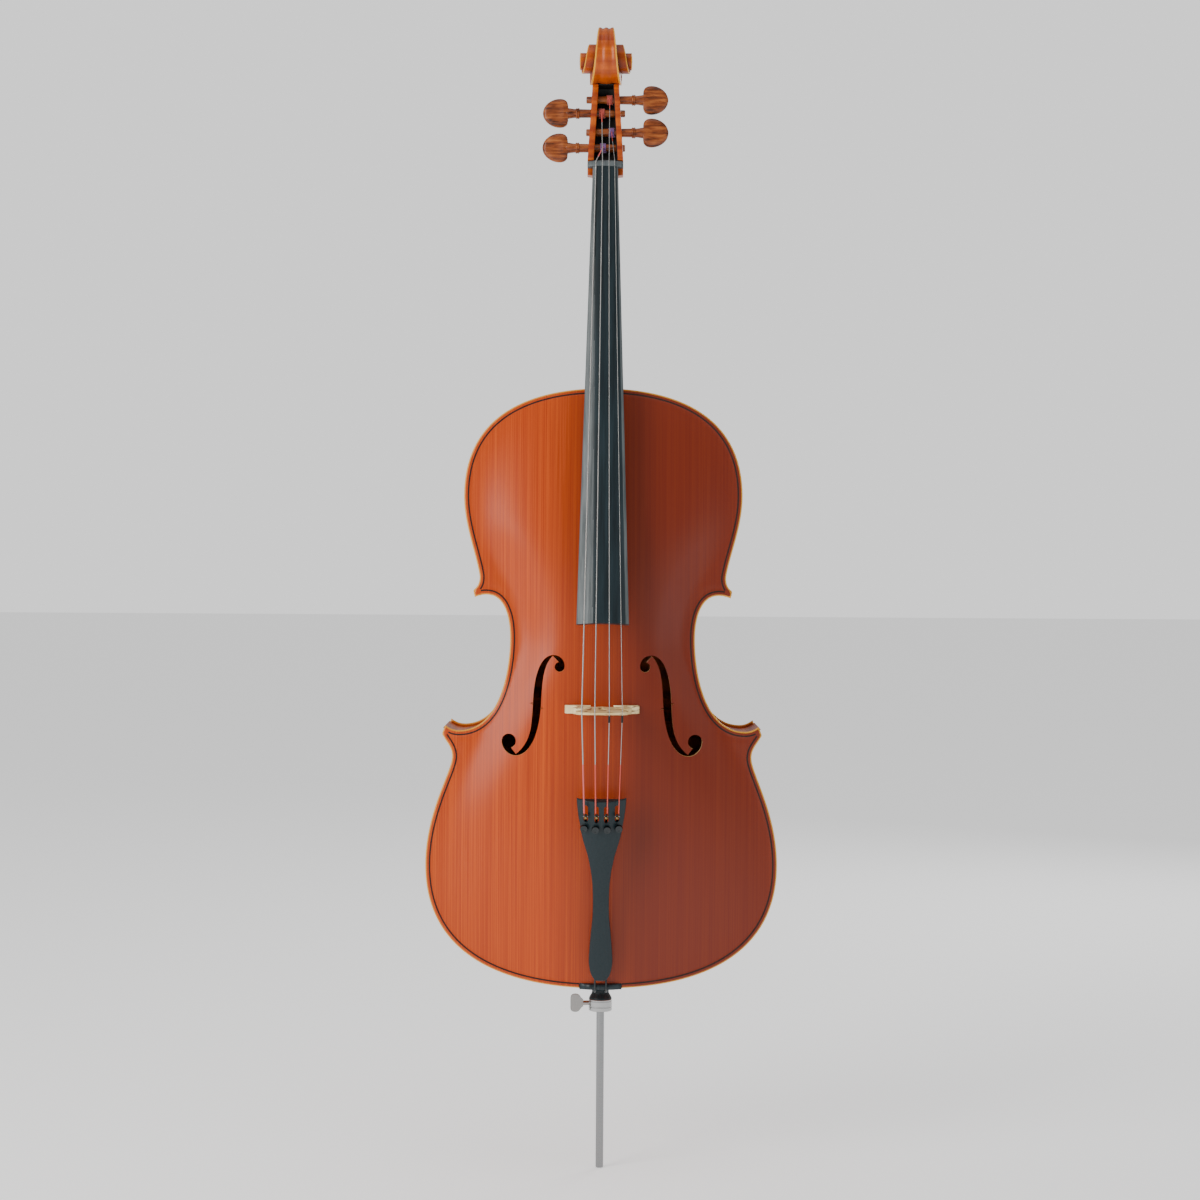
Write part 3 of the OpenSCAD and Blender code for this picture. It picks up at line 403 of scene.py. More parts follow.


# painted highlight: gold mixed in near a plate's rounded edge, standing in for the light that the edge catches
def paintedEdgeHighlight(material, colour, reach=0.0022):
    # the worn golden wood that shows along a plate's rounded edge
    near = addNode(material, "ShaderNodeAttribute", attribute_name="edgeDistance").outputs["Fac"]
    return mix(material, stretch(material, near, reach * 0.4, reach, 0.85, 0.0), colour, varnish["goldHighlight"])


def spruceMaterial(name):
    material, shader = varnished(name, varnish["spruceLight"], 0.38)
    fine = grain(material, (620, 2, 3), 5.0, 0.65)
    broad = grain(material, (14, 3, 4), 3.0, 0.5)
    rings = grain(material, (190, 2, 1.4), 2.0, 0.4, 0.2)
    across = addNode(material, "ShaderNodeSeparateXYZ", [("Vector", objectPlace(material))]).outputs["X"]
    colour = ramp(material, fine, [(0.30, varnish["spruceDeep"]), (0.62, varnish["spruceLight"])])
    colour = mix(material, stretch(material, rings, 0.35, 0.7, 0.0, 0.45), colour, varnish["spruceDeep"])
    colour = mix(material, stretch(material, broad, 0.3, 0.7, 0.0, 0.35), colour, varnish["spruceBroad"])
    # painted shade: the right half of the top, past x = 0, is darkened, standing in for the side of the arch turned
    # away from the key light
    colour = mix(material, stretch(material, across, -0.075, 0.05, 0.0, 0.82), colour, varnish["rightHalfPaintedShade"])
    rough = stretch(material, fine, 0.3, 0.7, 0.30, 0.44)
    # painted highlight: gold along the top's rounded edge
    return finishMaterial(material, shader, paintedEdgeHighlight(material, colour), rough, fine, 0.12, 0.0003)


def mapleMaterial(name, flame, fibre, goldHighlight=False, shaded=False):
    # flame is the noise scale that makes the bright cross stripes, fibre the one along the grain
    material, shader = varnished(name, varnish["mapleLight"], 0.36)
    stripes = grain(material, flame, 2.0, 0.5, 0.6)
    fine = grain(material, fibre, 4.0, 0.6)
    colour = ramp(material, stripes, [(0.34, varnish["mapleDeep"]), (0.66, varnish["mapleLight"])])
    colour = mix(material, stretch(material, fine, 0.35, 0.7, 0.0, 0.5), colour, varnish["mapleFibre"])
    if shaded:
        # painted shade: darker varnish laid into the corners of the scroll's gouges, where shade falls between the
        # turns
        corner = addNode(material, "ShaderNodeAttribute", attribute_name="gouge").outputs["Fac"]
        colour = mix(material, stretch(material, corner, 0.0, 1.0, 0.0, 0.85), colour, varnish["gouge"])
    # painted highlight: gold along the cut edges, where edgeDistance is small
    if goldHighlight:
        colour = paintedEdgeHighlight(material, colour)
    rough = stretch(material, stripes, 0.3, 0.7, 0.42, 0.28)
    return finishMaterial(material, shader, colour, rough, fine, 0.08, 0.0003)


def boardMaterial(name, deep, light, roughness=0.34, streak=(220, 60, 5)):
    material, shader = startMaterial(name, deep, roughness, 0.0, 0.0, 0.25, 0.3)
    streaks = grain(material, streak, 4.0, 0.6)
    colour = ramp(material, streaks, [(0.32, deep), (0.74, light)])
    rough = stretch(material, streaks, 0.3, 0.7, roughness + 0.08, roughness - 0.06)
    return finishMaterial(material, shader, colour, rough, streaks, 0.08, 0.0002)


def paleWoodMaterial(name, deep, light, scale=(60, 60, 6), roughness=0.6):
    material, shader = startMaterial(name, light, roughness)
    fibres = grain(material, scale, 4.0, 0.6)
    colour = ramp(material, fibres, [(0.3, deep), (0.65, light)])
    return finishMaterial(material, shader, colour, None, fibres, 0.15, 0.0003)


def bridgeMaterial(name):
    # pale maple, with the short dark flecks of its rays
    material, shader = startMaterial(name, (0.80, 0.64, 0.36), 0.5)
    fibres = grain(material, (18, 30, 60), 3.0)
    tone = ramp(material, fibres, [(0.3, (0.66, 0.43, 0.15)), (0.65, (0.92, 0.76, 0.42))])
    flecks = stretch(material, grain(material, (90, 60, 330), 2.0, 0.4), 0.60, 0.68)
    colour = mix(material, flecks, tone, (0.30, 0.17, 0.08))
    return finishMaterial(material, shader, colour, None, flecks, 0.1, 0.0002)


def rosewoodMaterial(name):
    # stripes in three browns along the peg
    material, shader = startMaterial(name, (0.30, 0.11, 0.05), 0.30, 0.0, 0.15, 0.15, 0.25)
    stripes = grain(material, (35, 200, 260), 3.0, 0.55, 0.3)
    browns = [(0.30, (0.035, 0.008, 0.004)), (0.50, (0.215, 0.050, 0.012)), (0.72, (0.42, 0.125, 0.028))]
    colour = ramp(material, stripes, browns)
    return finishMaterial(material, shader, colour, None, stripes, 0.08, 0.0002)


def metalMaterial(name, colour, roughness, scale=(80, 80, 900), spread=0.08):
    material, shader = startMaterial(name, colour, roughness, 1.0)
    brushed = grain(material, scale, 3.0, 0.6)
    rough = stretch(material, brushed, 0.3, 0.7, roughness - spread, roughness + spread)
    return finishMaterial(material, shader, None, rough, brushed, 0.03, 0.0001)


def stringMaterial(name, silk, silkTop):
    # flat steel winding, with silk thread at both ends of the string
    steel = (0.42, 0.415, 0.40)
    material, shader = startMaterial(name, steel, 0.28, 0.9)
    height = addNode(material, "ShaderNodeSeparateXYZ", [("Vector", objectPlace(material))]).outputs["Z"]
    wave = addNode(material, "ShaderNodeTexWave", [("Vector", objectPlace(material))], bands_direction="Z")
    wave.inputs["Scale"].default_value = 700
    low = stretch(material, height, 0.531, 0.5295)
    high = stretch(material, height, silkTop, silkTop + 0.001)
    wrapped = addNode(material, "ShaderNodeMath", [(0, low), (1, high)], operation="MAXIMUM").outputs["Value"]
    colour = mix(material, wrapped, steel, silk)
    material.node_tree.links.new(shader.inputs["Metallic"], stretch(material, wrapped, 0, 1, 0.9, 0.0))
    rough = stretch(material, wrapped, 0, 1, 0.28, 0.7)
    return finishMaterial(material, shader, colour, rough, wave.outputs["Fac"], 0.25, 0.0002)


def silkMaterial(name, deep, light):
    material, shader = startMaterial(name, light, 0.72)
    shader.inputs["Sheen Weight"].default_value = 0.3
    threads = grain(material, (900, 900, 900), 2.0)
    colour = ramp(material, threads, [(0.35, deep), (0.65, light)])
    return finishMaterial(material, shader, colour, None, threads, 0.4, 0.0002)


looks = {
    "spruce": spruceMaterial("spruceVarnish"),
    "backMaple": mapleMaterial("backVarnish", (2.5, 2.5, 85), (260, 260, 5), True),
    "ribMaple": mapleMaterial("ribVarnish", (75, 5, 75), (6, 240, 6)),
    "neckMaple": mapleMaterial("neckVarnish", (6, 6, 90), (240, 240, 5)),
    "scrollMaple": mapleMaterial("scrollVarnish", (6, 6, 90), (240, 240, 5), True, True),
    # painted shade: near black for the hollow inside the pegbox
    "throatPaintedShade": boardMaterial("cavityPaintedShade", (0.004, 0.003, 0.003), (0.012, 0.008, 0.006), 0.6),
    "purfling": boardMaterial("purflingInlay", (0.012, 0.004, 0.003), (0.040, 0.009, 0.005), 0.5),
    "cutWood": paleWoodMaterial("cutEdge", (0.62, 0.36, 0.12), (0.86, 0.62, 0.30)),
    "bare": paleWoodMaterial("bareWood", (0.50, 0.30, 0.12), (0.70, 0.48, 0.24)),
    "ebony": boardMaterial("boardWood", (0.006, 0.012, 0.015), (0.020, 0.036, 0.044)),
    # the nut's grey, and a painted sheen on the fingerboard's flat and right edge
    "greyAndSheen": boardMaterial("boardGreyAndSheen", (0.050, 0.062, 0.066), (0.150, 0.170, 0.175), 0.42),
    "composite": boardMaterial("tailComposite", (0.007, 0.016, 0.020), (0.012, 0.023, 0.028), 0.36, (500,) * 3),
    "bridge": bridgeMaterial("bridgeMaple"),
    "rosewood": rosewoodMaterial("pegRosewood"),
    "steel": metalMaterial("rodSteel", (0.27, 0.275, 0.28), 0.20),
    "chrome": metalMaterial("collarChrome", (0.42, 0.42, 0.42), 0.14, (60, 60, 60), 0.04),
    "nickel": metalMaterial("satinNickel", (0.34, 0.33, 0.32), 0.34, (500, 500, 500)),
    "brass": metalMaterial("brassEnds", (0.26, 0.18, 0.07), 0.34, (300, 300, 300)),
    "blackMetal": metalMaterial("tunerBlack", (0.045, 0.050, 0.052), 0.22, (300, 300, 300)),
    "rubber": boardMaterial("sleeveRubber", (0.008, 0.008, 0.008), (0.016, 0.016, 0.016), 0.55, (400,) * 3),
    "gut": boardMaterial("tailCord", (0.010, 0.014, 0.016), (0.030, 0.038, 0.042), 0.35, (300, 300, 60)),
    "silkRed": silkMaterial("silkRed", (0.36, 0.035, 0.025), (0.62, 0.09, 0.06)),
    "silkPurple": silkMaterial("silkPurple", (0.11, 0.035, 0.16), (0.27, 0.11, 0.34)),
}
print("materials made:", len(looks))


# ---- Plates ----

outlineRows = [
    [(70, 755), (175, 735), (175.2, 620)], [(175.2, 582), (160, 548), (155, 518)],
    [(154.6, 508), (159, 503), (163, 500.5)], [(162.4, 497.5), (161.6, 494.5), (161, 491.5)],
    [(153, 495), (146, 495.5), (140, 494)], [(124, 490), (116.3, 468), (116.3, 440)],
    [(116.3, 395), (130, 324), (180, 324)], [(187, 324), (193, 327), (197.2, 330.6)],
    [(198.6, 326.8), (199.9, 323.1), (201.3, 319.3)], [(196, 309), (188.3, 303), (188.3, 291)],
    [(188.3, 272), (221.3, 222), (221.3, 155)], [(221.3, 52), (140, 0), (0, 0)],
]
outlineHalf = chain((0, 755), outlineRows, 40)
outlineLoop = resample(np.concatenate([outlineHalf, mirrorX(outlineHalf)[1:-1]]), 2.6, closed=True)

archEdge = chain((0, 748), [[(80, 748), (166, 724), (166, 620)], [(166, 540), (107, 520), (107, 440)],
                            [(107, 370), (212, 290), (212, 155)], [(212, 60), (130, 8), (0, 8)]], 40)[::-1]


def arch(x, z, height, inset=0.0):
    # height times a fullness along z, ease(1 - |2(z-8)/740 - 1|^2.6), times one across, ease(1 - |x/w|^2.2)
    half = np.maximum(4, np.interp(z, archEdge[:, 1], archEdge[:, 0]) - inset)
    lengthwise = ease(1 - np.abs(2 * (z - 8) / 740 - 1) ** 2.6)
    crosswise = ease(1 - np.minimum(1, np.abs(x / half)) ** 2.2)
    return height * lengthwise * crosswise


plate = {
    "edgeRound": 2.0,
    "channel": 0.35,       # the dip just inside the purfling: depth, distance from the edge, width
    "channelAt": 9.0,
    "channelWide": 2.6,
    "hollowIn": 10.0,      # the inner face is flat this near the edge
    "extra": 0.3,
    "step": 4.2,
}


def plateHeights(flat, rimLoop, height):
    # outer and inner face: the arch, rounded over at the edge and dipped a little inside the purfling
    x, z = flat.T
    away = distanceTo(flat, rimLoop)
    fall = roundOver(away, plate["edgeRound"])
    dip = plate["channel"] * np.exp(-(((away - plate["channelAt"]) / plate["channelWide"]) ** 2))
    outer = body["edge"] + arch(x, z, height) - fall - dip
    inner = arch(x, z, height - plate["extra"], plate["hollowIn"]) + fall
    return outer, np.minimum(inner, outer - 0.5), away


def onPlate(side):
    # from (x, z, height) over a plate, whose outer face looks along y times side
    return lambda q: np.column_stack([q[:, 0], side * (body["ribHalf"] + q[:, 2]), body["z"] + q[:, 1]])


def edgeRings(loop):
    # rows of points just inside the edge, so that its rounding has points to bend at
    rings = []
    for depth in (0.25, 0.7, 1.3, 2.0, 3.2, 4.6, 6.6, 8.8):
        ring = inward(np.vstack([loop[-1:], loop, loop[:1]]), depth)[1:-1]
        rings.append(ring[distanceTo(ring, loop) > depth * 0.985])
    return rings


soundHole = {
    "outer": chain((107.5, 296), [[(88, 312), (88, 330), (86.5, 362)], [(85, 405), (73, 420), (61, 420)]], 16),
    "inner": chain((62, 419), [[(72, 409), (75, 393), (76, 365)], [(77.5, 320), (90, 294), (108.5, 294)]], 16),
    "upperTip": chain((61, 420), [[(52, 420), (46.5, 413), (47.2, 405.3)]], 14),
    "lowerTip": chain((108.5, 294), [[(117, 294), (125.6, 302), (125.6, 312)]], 14),
    "eyes": [(53.4, 405.3, 6.2), (116.6, 312, 9.0)],
    "notches": [(84.5, 359, 5, 1.2), (74, 353, 5, 1.2)],
}


def circle(x, y, r, sides=40):
    a = np.linspace(0, 2 * np.pi, sides, endpoint=False)
    return np.column_stack([x + r * np.cos(a), y + r * np.sin(a)])


def rectangle(x, y, wide, tall):
    return np.array([(x, y), (x + wide, y), (x + wide, y + tall), (x, y + tall)], float)


holeShapes = [
    np.vstack([soundHole["outer"], soundHole["inner"]]),
    np.vstack([[(62, 419)], soundHole["upperTip"], [(53, 405), (54.6, 411.6)]]),
    np.vstack([[(107.5, 296)], soundHole["lowerTip"], [(116, 311), (113.8, 304.1)]]),
] + [circle(*e) for e in soundHole["eyes"]] + [rectangle(*n) for n in soundHole["notches"]]
holeShapes = holeShapes + [mirrorX(s) for s in holeShapes]
topCuts = [rectangle(-26.5, -5, 53, 12), rectangle(-22.5, 747, 45, 20)]


def within(loops):
    return lambda points: np.any([inside(points, loop) for loop in loops], axis=0)


def makeTop():
    inOutline = within([outlineLoop])
    inHoles = within(holeShapes + topCuts)
    dense = [resample(s, 2.0, closed=True) if len(s) > 4 else s for s in holeShapes]
    rings = [r[~inHoles(r)] for r in edgeRings(outlineLoop)]
    flat, tris, rim = carve([outlineLoop] + dense + topCuts, lambda p: inOutline(p) & ~inHoles(p),
                            plate["step"], rings)
    outer, inner, away = plateHeights(flat, outlineLoop, body["topArch"])
    cut = (away[rim] > 0.05).any(1).astype(int)
    makePiece("topPlate", *slab(flat, tris, rim, outer, inner, onPlate(-1), cut), root, "spruce_varnished",
              [looks["spruce"], looks["cutWood"]], ["top_plate"], 50, {"edgeDistance": np.tile(away * mm, 2)})


def makeBack():
    # the outline with a half-round button on top of it, behind the neck's heel
    dome = circle(0, 761, 15, 48)[:25]
    button = np.vstack([rectangle(-15, 747, 30, 14)[:2], dome])
    inAny = within([outlineLoop, button])
    outsideButton = outlineLoop[~inside(outlineLoop, button)]
    start = np.argmax(np.linalg.norm(np.roll(outsideButton, -1, 0) - outsideButton, axis=1)) + 1
    opened = np.roll(outsideButton, -start, axis=0)
    arc = dome[~inside(dome, outlineLoop)]
    arc = arc if opened[-1, 0] * arc[0, 0] > 0 else arc[::-1]
    rimLoop = np.vstack([opened, arc])
    rings = [r[inAny(r)] for r in edgeRings(rimLoop)]
    flat, tris, rim = carve([rimLoop], within([rimLoop]), plate["step"], rings)
    outer, inner, away = plateHeights(flat, rimLoop, body["backArch"])
    makePiece("backPlate", *slab(flat, tris, rim, outer, inner, onPlate(1)), root, "maple_varnished",
              [looks["backMaple"]], ["back_plate"], 50, {"edgeDistance": np.tile(away * mm, 2)})


def makePurfling(name, node, height, cuts, outward):
    # a ribbon set into the plate's face and a little proud of it, between two distances from the edge
    depths, proud, deep = (4.5, 5.5, 6.5), 0.05, 1.2
    line = resample(np.concatenate([outlineHalf, mirrorX(outlineHalf)[1:-1]]), 1.3, closed=True)
    around = np.vstack([line[-3:], line, line[:3]])
    edges = [inward(around, d)[3:-3] for d in depths]
    keep = ~np.any([inside(edges[1], c) for c in cuts], axis=0) if cuts else np.ones(len(line), bool)
    keep &= np.all([distanceTo(e, outlineLoop) > d - 0.12 for e, d in zip(edges, depths)], axis=0)
    level = [plateHeights(e, outlineLoop, height)[0] + proud for e in edges]
    rows = [(0, level[0]), (1, level[1]), (2, level[2]), (2, level[2] - deep), (0, level[0] - deep)]
    points = np.stack([onPlate(outward)(np.column_stack([edges[k], h])) for k, h in rows], axis=1)
    starts = np.flatnonzero(keep & ~np.roll(keep, 1))
    if not len(starts):
        starts = np.array([0])
    solids = []
    for start in starts:
        order = np.roll(np.arange(len(line)), -start)
        stop = np.argmin(np.append(keep[order], False))
        if stop > 3:
            solids.append(loft(points[order[:stop]]))
    makePiece(name, *merge(*solids), root, "purfling", [looks["purfling"]], [node], 40)


makeTop()
makeBack()
makePurfling("purflingTopInlay", "purfling_top", body["topArch"], topCuts, -1)
makePurfling("purflingBackInlay", "purfling_back", body["backArch"], [], 1)
print("plates carved")


# ---- Ribs ----

def makeRibs():
    # each rib is a thin rectangle carried along its stretch of the outline, thinner where two ribs meet
    for name, first, last in (("upper", 0, 3), ("middle", 4, 8), ("lower", 9, 12)):
        start = (0, 755) if first == 0 else outlineRows[first - 1][2]
        path = resample(chain(start, outlineRows[first:last], 40), 3.0)
        reach = np.arange(len(path)) * 3.0
        toEnd = np.minimum(reach if first else np.inf, (reach[-1] - reach) if last < 12 else np.inf)
        thick = body["rib"] * np.clip(0.3 + toEnd / 10, 0.3, 1)
        outer = inward(path, body["overhang"])
        inner = inward(path, 1) - path
        inner = outer + inner * thick[:, None]
        y = body["ribHalf"]
        for side, sign in (("bass", -1), ("treble", 1)):
            section = np.stack([np.column_stack([sign * p[:, 0], np.full(len(p), s), body["z"] + p[:, 1]])
                                for p, s in ((outer, -y), (outer, y), (inner, y), (inner, -y))], axis=1)
            makePiece(f"rib_{name}_{side}_wood", *loft(section), root, "maple_varnished",
                      [looks["ribMaple"]], [f"rib_{name}_{side}"])


makeRibs()
print("ribs bent")


# ---- Neck, pegbox and scroll ----

board = {
    "slope": 0.18,
    "over": 33.0,          # the board's face above the plates where the body ends
    "nutZ": 1037.5,        # from the nut to the low end, above the body's lower edge
    "low": 462.0,
    "halfNut": 16.0,
    "halfEnd": 32.25,
    "radius": 62.0,
    "thickNut": 9.5,
    "thickBody": 13.2,
    "flatFrom": -12.0,     # the flat under the lowest string: where it starts, and its turn in degrees
    "flatTurn": 23.0,
    "scoop": 240.0,
    "nutTall": 8.5,
    "nutUp": 1.2,
}
neckThick = 18.5
heelFrom, heelTo = 774, 818
tilt = math.atan(board["slope"])
cosT, sinT = math.cos(tilt), math.sin(tilt)
boardLength = (board["nutZ"] - board["low"]) / cosT
thickEnd = board["thickNut"] + (board["thickBody"] - board["thickNut"]) * boardLength / (282.5 / cosT)
nutY = faceY - (board["over"] + board["slope"] * (body["length"] - board["nutZ"]))


def onBoard(x, y, s):
    # from the fingerboard's own frame: s runs up its middle line to the nut, -y is out
    x, y, s = np.broadcast_arrays(x, y, s)
    return np.stack([x, nutY + y * cosT + s * sinT, body["z"] + board["nutZ"] - y * sinT + s * cosT], axis=-1)


def glueThick(s):
    return board["thickNut"] - (thickEnd - board["thickNut"]) * s / boardLength


def glueY(z):
    # the plane where neck and fingerboard meet, at height z above the body's lower edge
    low, high = (onBoard(0.0, glueThick(s), s) for s in (-boardLength, 0.0))
    return low[1] + (high[1] - low[1]) * (z + body["z"] - low[2]) / (high[2] - low[2])


def boardHalf(z):
    growth = board["halfEnd"] - board["halfNut"]
    return board["halfNut"] + growth * (board["nutZ"] - z) / (board["nutZ"] - board["low"])


def makeNeck():
    # level slices: a flat front, sides that narrow a little, and a back that closes as sqrt(1 - t^2)
    z = np.concatenate([np.linspace(747.2, 776, 12), np.linspace(778, 815, 26), np.linspace(820, 1026, 50)])
    front = glueY(z)
    back = front + neckThick / cosT
    end = (glueY(heelTo) + neckThick / cosT, heelTo)
    curve = chain((body["ribHalf"], heelFrom), [[(faceY + 52, 785), (faceY + 24, 794), end]], 40)
    back = np.where(z < heelTo, np.interp(z, curve[:, 1], curve[:, 0]), back)
    depth = back - front
    half = np.minimum(boardHalf(z), 22.5)
    rounding = np.interp(z, [heelFrom, 800], [2.5, 15.5])
    t = np.linspace(0, 1, 26)
    straight = (depth - rounding)[:, None] * np.minimum(t / 0.4, 1)
    turn = np.clip((t - 0.4) / 0.6, 0, 1) * np.pi / 2
    y = straight + rounding[:, None] * np.sin(turn)
    x = (half[:, None] - 0.056 * y) * np.maximum(np.cos(turn), 0.004)
    right = np.stack([x, front[:, None] + y, np.broadcast_to(body["z"] + z[:, None], x.shape)], axis=-1)
    left = right[:, ::-1] * [-1, 1, 1]
    return loft(np.concatenate([right, left], axis=1))


eye = {"y": faceY + 66.0, "z": 1179.4}
spiralRadius = np.array([(-120, 47), (-90, 46.5), (0, 44), (90, 37.5), (180, 30), (270, 25.5), (360, 22.3),
                         (450, 18.5), (540, 15.5), (630, 13), (720, 11), (1100, 10.5)], float)
spiralHalf = np.array([(-120, 15.4), (-90, 14.6), (-45, 10.8), (0, 9), (90, 14), (180, 20.5), (360, 21.5),
                       (540, 31), (720, 33.5), (1100, 33.5)], float)
turns = np.arange(-120, 1101, 5.0)
soft = np.hanning(11) / np.hanning(11).sum()
spiralR = np.convolve(np.pad(np.interp(turns, *spiralRadius.T), 5, "edge"), soft, "valid")
spiralW = np.convolve(np.pad(np.interp(turns, *spiralHalf.T), 5, "edge"), soft, "valid")


def flute(u, depth):
    # two shallow hollows side by side, with a spine between them: depth * sin^2 over each half
    v = np.clip((np.abs(u) - 0.05) / 0.83, 0, 1)
    return depth * np.sin(np.pi * v) ** 2


def headFront(z):
    # the front edge of the pegbox's cheeks at height z, leaning back from where they begin at 1046
    return faceY + 24 + 0.325 * (z - 1046)


headBack = chain((-46.5, 1027.5), [
    [(-50, 1034), (-57, 1040), (-59, 1052)], [(-62, 1072), (-72, 1112), (-83, 1136)],
    [(-92, 1155), (-112.5, 1165.4), (-112.5, 1179.4)]], 20)


def makeHead():
    # level slices through the pegbox: two cheeks, a fluted back, and a hollow between the cheeks
    zones = [(1018, 1026.6, 6), (1027.5, 1044, 10), (1045.5, 1050, 7), (1052, 1134, 32), (1136, 1150, 15),
             (1151.5, 1179.4, 16)]
    z = np.concatenate([np.linspace(*zone) for zone in zones])
    front = headFront(z)
    front = np.where(z < 1046.2, np.maximum(front, glueY(z)) + 0.05, front)
    under = np.array([(1149.4, 63.0), (1151, 72.0), (1158, 80.5), (1168, 86.0), (1180, 88.5)])
    front = np.where(z > 1149.4, faceY + np.interp(z, under[:, 0], under[:, 1]), front)
    back = faceY - np.interp(z, headBack[:, 1], headBack[:, 0])
    half = np.interp(z, [1018, 1026.6, 1027.5, 1046, 1140, 1165, 1179.4],
                     [16.3, 16.3, 22.75, 22.75, 17.5, 16.5, 14.6])
    cheek = np.interp(z, [1040, 1050, 1140, 1180], [14.75, 14.75, 9.8, 9.0])
    hollow = np.interp(z, [1046.2, 1047, 1049, 1060, 1136, 1145, 1148.2],
                       [0.02, 6, 12, 20, 20, 14, 0.02])
    row = lambda *xs: np.stack([np.broadcast_to(x, z.shape) for x in xs], axis=1)
    sideX = row(cheek, cheek + 0.8, half - 1.0, half - 0.3, half, half, half, half, half - 0.4, half - 1.4)
    sideY = row(front + 0.5, front, front, front + 0.3, front + 1.0, front * 0.7 + back * 0.3,
                front * 0.3 + back * 0.7, back - 1.6, back - 0.5, back)
    u = np.linspace(1, -1, 25)[1:-1]
    backX = (half - 1.4)[:, None] * u
    backY = back[:, None] - flute(u, 1.0)[None] * ease((z - 1046) / 30)[:, None] * 1.8
    wallX = row(-cheek, -cheek, -cheek, -cheek + 1.5, cheek - 1.5, cheek, cheek, cheek)
    wallY = front[:, None] + 0.5 + hollow[:, None] * np.array([0.3, 0.7, 0.93, 1, 1, 0.93, 0.7, 0.3])
    x = np.concatenate([sideX, backX, -sideX[:, ::-1], wallX], axis=1)
    y = np.concatenate([sideY, backY, sideY[:, ::-1], wallY], axis=1)
    points, sets = loft(np.stack([x, y, np.broadcast_to(body["z"] + z[:, None], x.shape)], axis=-1))
    # painted shade: the walls of the hollow between the cheeks take a near-black material, standing in for the shade
    # inside the pegbox
    across = np.arange(len(sets[0][0])) % x.shape[1]
    paintedShadeWalls = (across >= x.shape[1] - 9) | (across == 0)
    return points, [(sets[0][0][~paintedShadeWalls], 0), (sets[0][0][paintedShadeWalls], 1)] + sets[1:]


def makeVolute():
    # round the eye by angle a: the band at radius r(a), then a step in to each following turn,
    # at r(a+360) and r(a+720)
    a = np.linspace(-90, 270, 145)
    radius = lambda angle: np.interp(angle, turns, spiralR)
    width = lambda angle: np.interp(angle, turns, spiralW)
    u = np.linspace(0, 1, 17)
    fade = 1.5 * (1 - ease((a - 200) / 60))[:, None]
    # each block of columns: radius, half width, how near the corner of a gouge (where painted shade goes), how near a
    # cut edge (where the painted gold highlight goes)
    blocks = [(radius(a)[:, None] - flute(u, 1.0)[None] * fade, (width(a) - 0.9)[:, None] * u, 0 * u,
               1 - (u > 0.93))]
    t = np.linspace(0, 1, 14)[None]
    for k in range(3):
        last = k == 2
        r0, r1 = radius(a + 360 * k)[:, None], radius(a + 360 * (k + 1))[:, None]
        w0, w1 = width(a + 360 * k)[:, None], width(a + 360 * (k + 1))[:, None]
        w1 = np.maximum(w1, w0 + 0.05)
        blocks.append((r0 - np.array([[0.0, 0.35, 1.0]]), w0 - np.array([[0.5, 0.15, 0.0]]),
                       np.zeros(3), np.zeros(3)))
        inner = np.zeros_like(r0) if last else np.minimum(r1, r0 - 1.2)
        dip = -0.5 * np.sin(np.pi * t / 2) if last else 2.2 * np.sin(np.pi * t ** 0.8)
        blocks.append(((r0 - 1.2) * (1 - t) + inner * t, w0 - dip, 0 * t[0] if last else t[0] ** 4,
                       t[0] > 0.05))
        if not last:
            rise = np.linspace(0.1, 1, 7)
            blocks.append((np.broadcast_to(inner, (len(a), 7)), w0 + (w1 - 0.9 - w0) * rise[None],
                           (1 - rise) ** 2, rise < 0.95))
    full = lambda item: np.broadcast_to(item, (len(a), item.shape[-1]))
    r, x, gouge, plain = (np.concatenate([full(np.asarray(block[j], float)) for block in blocks], axis=1)
                          for j in range(4))
    r, gouge, plain = (np.concatenate([grid, grid[:, :0:-1]], axis=1) for grid in (r, gouge, plain))
    x = np.concatenate([x, -x[:, :0:-1]], axis=1)
    angle = np.radians(a)[:, None]
    shape = np.stack([x, eye["y"] - r * np.sin(angle), body["z"] + eye["z"] + r * np.cos(angle)], axis=-1)
    return loft(shape), {"gouge": gouge.ravel(), "edgeDistance": plain.ravel() * 0.005}


makePiece("neckShaft", *makeNeck(), root, "maple_varnished", [looks["neckMaple"]], ["neck"], 40)
makePiece("pegbox", *makeHead(), root, "maple_varnished", [looks["neckMaple"], looks["throatPaintedShade"]],
          (), 40)
volute, shading = makeVolute()
makePiece("scroll", *volute, root, "maple_varnished", [looks["scrollMaple"]], (), 40, shading)
print("neck, pegbox and scroll carved")


# ---- Fingerboard, nut and saddle ----

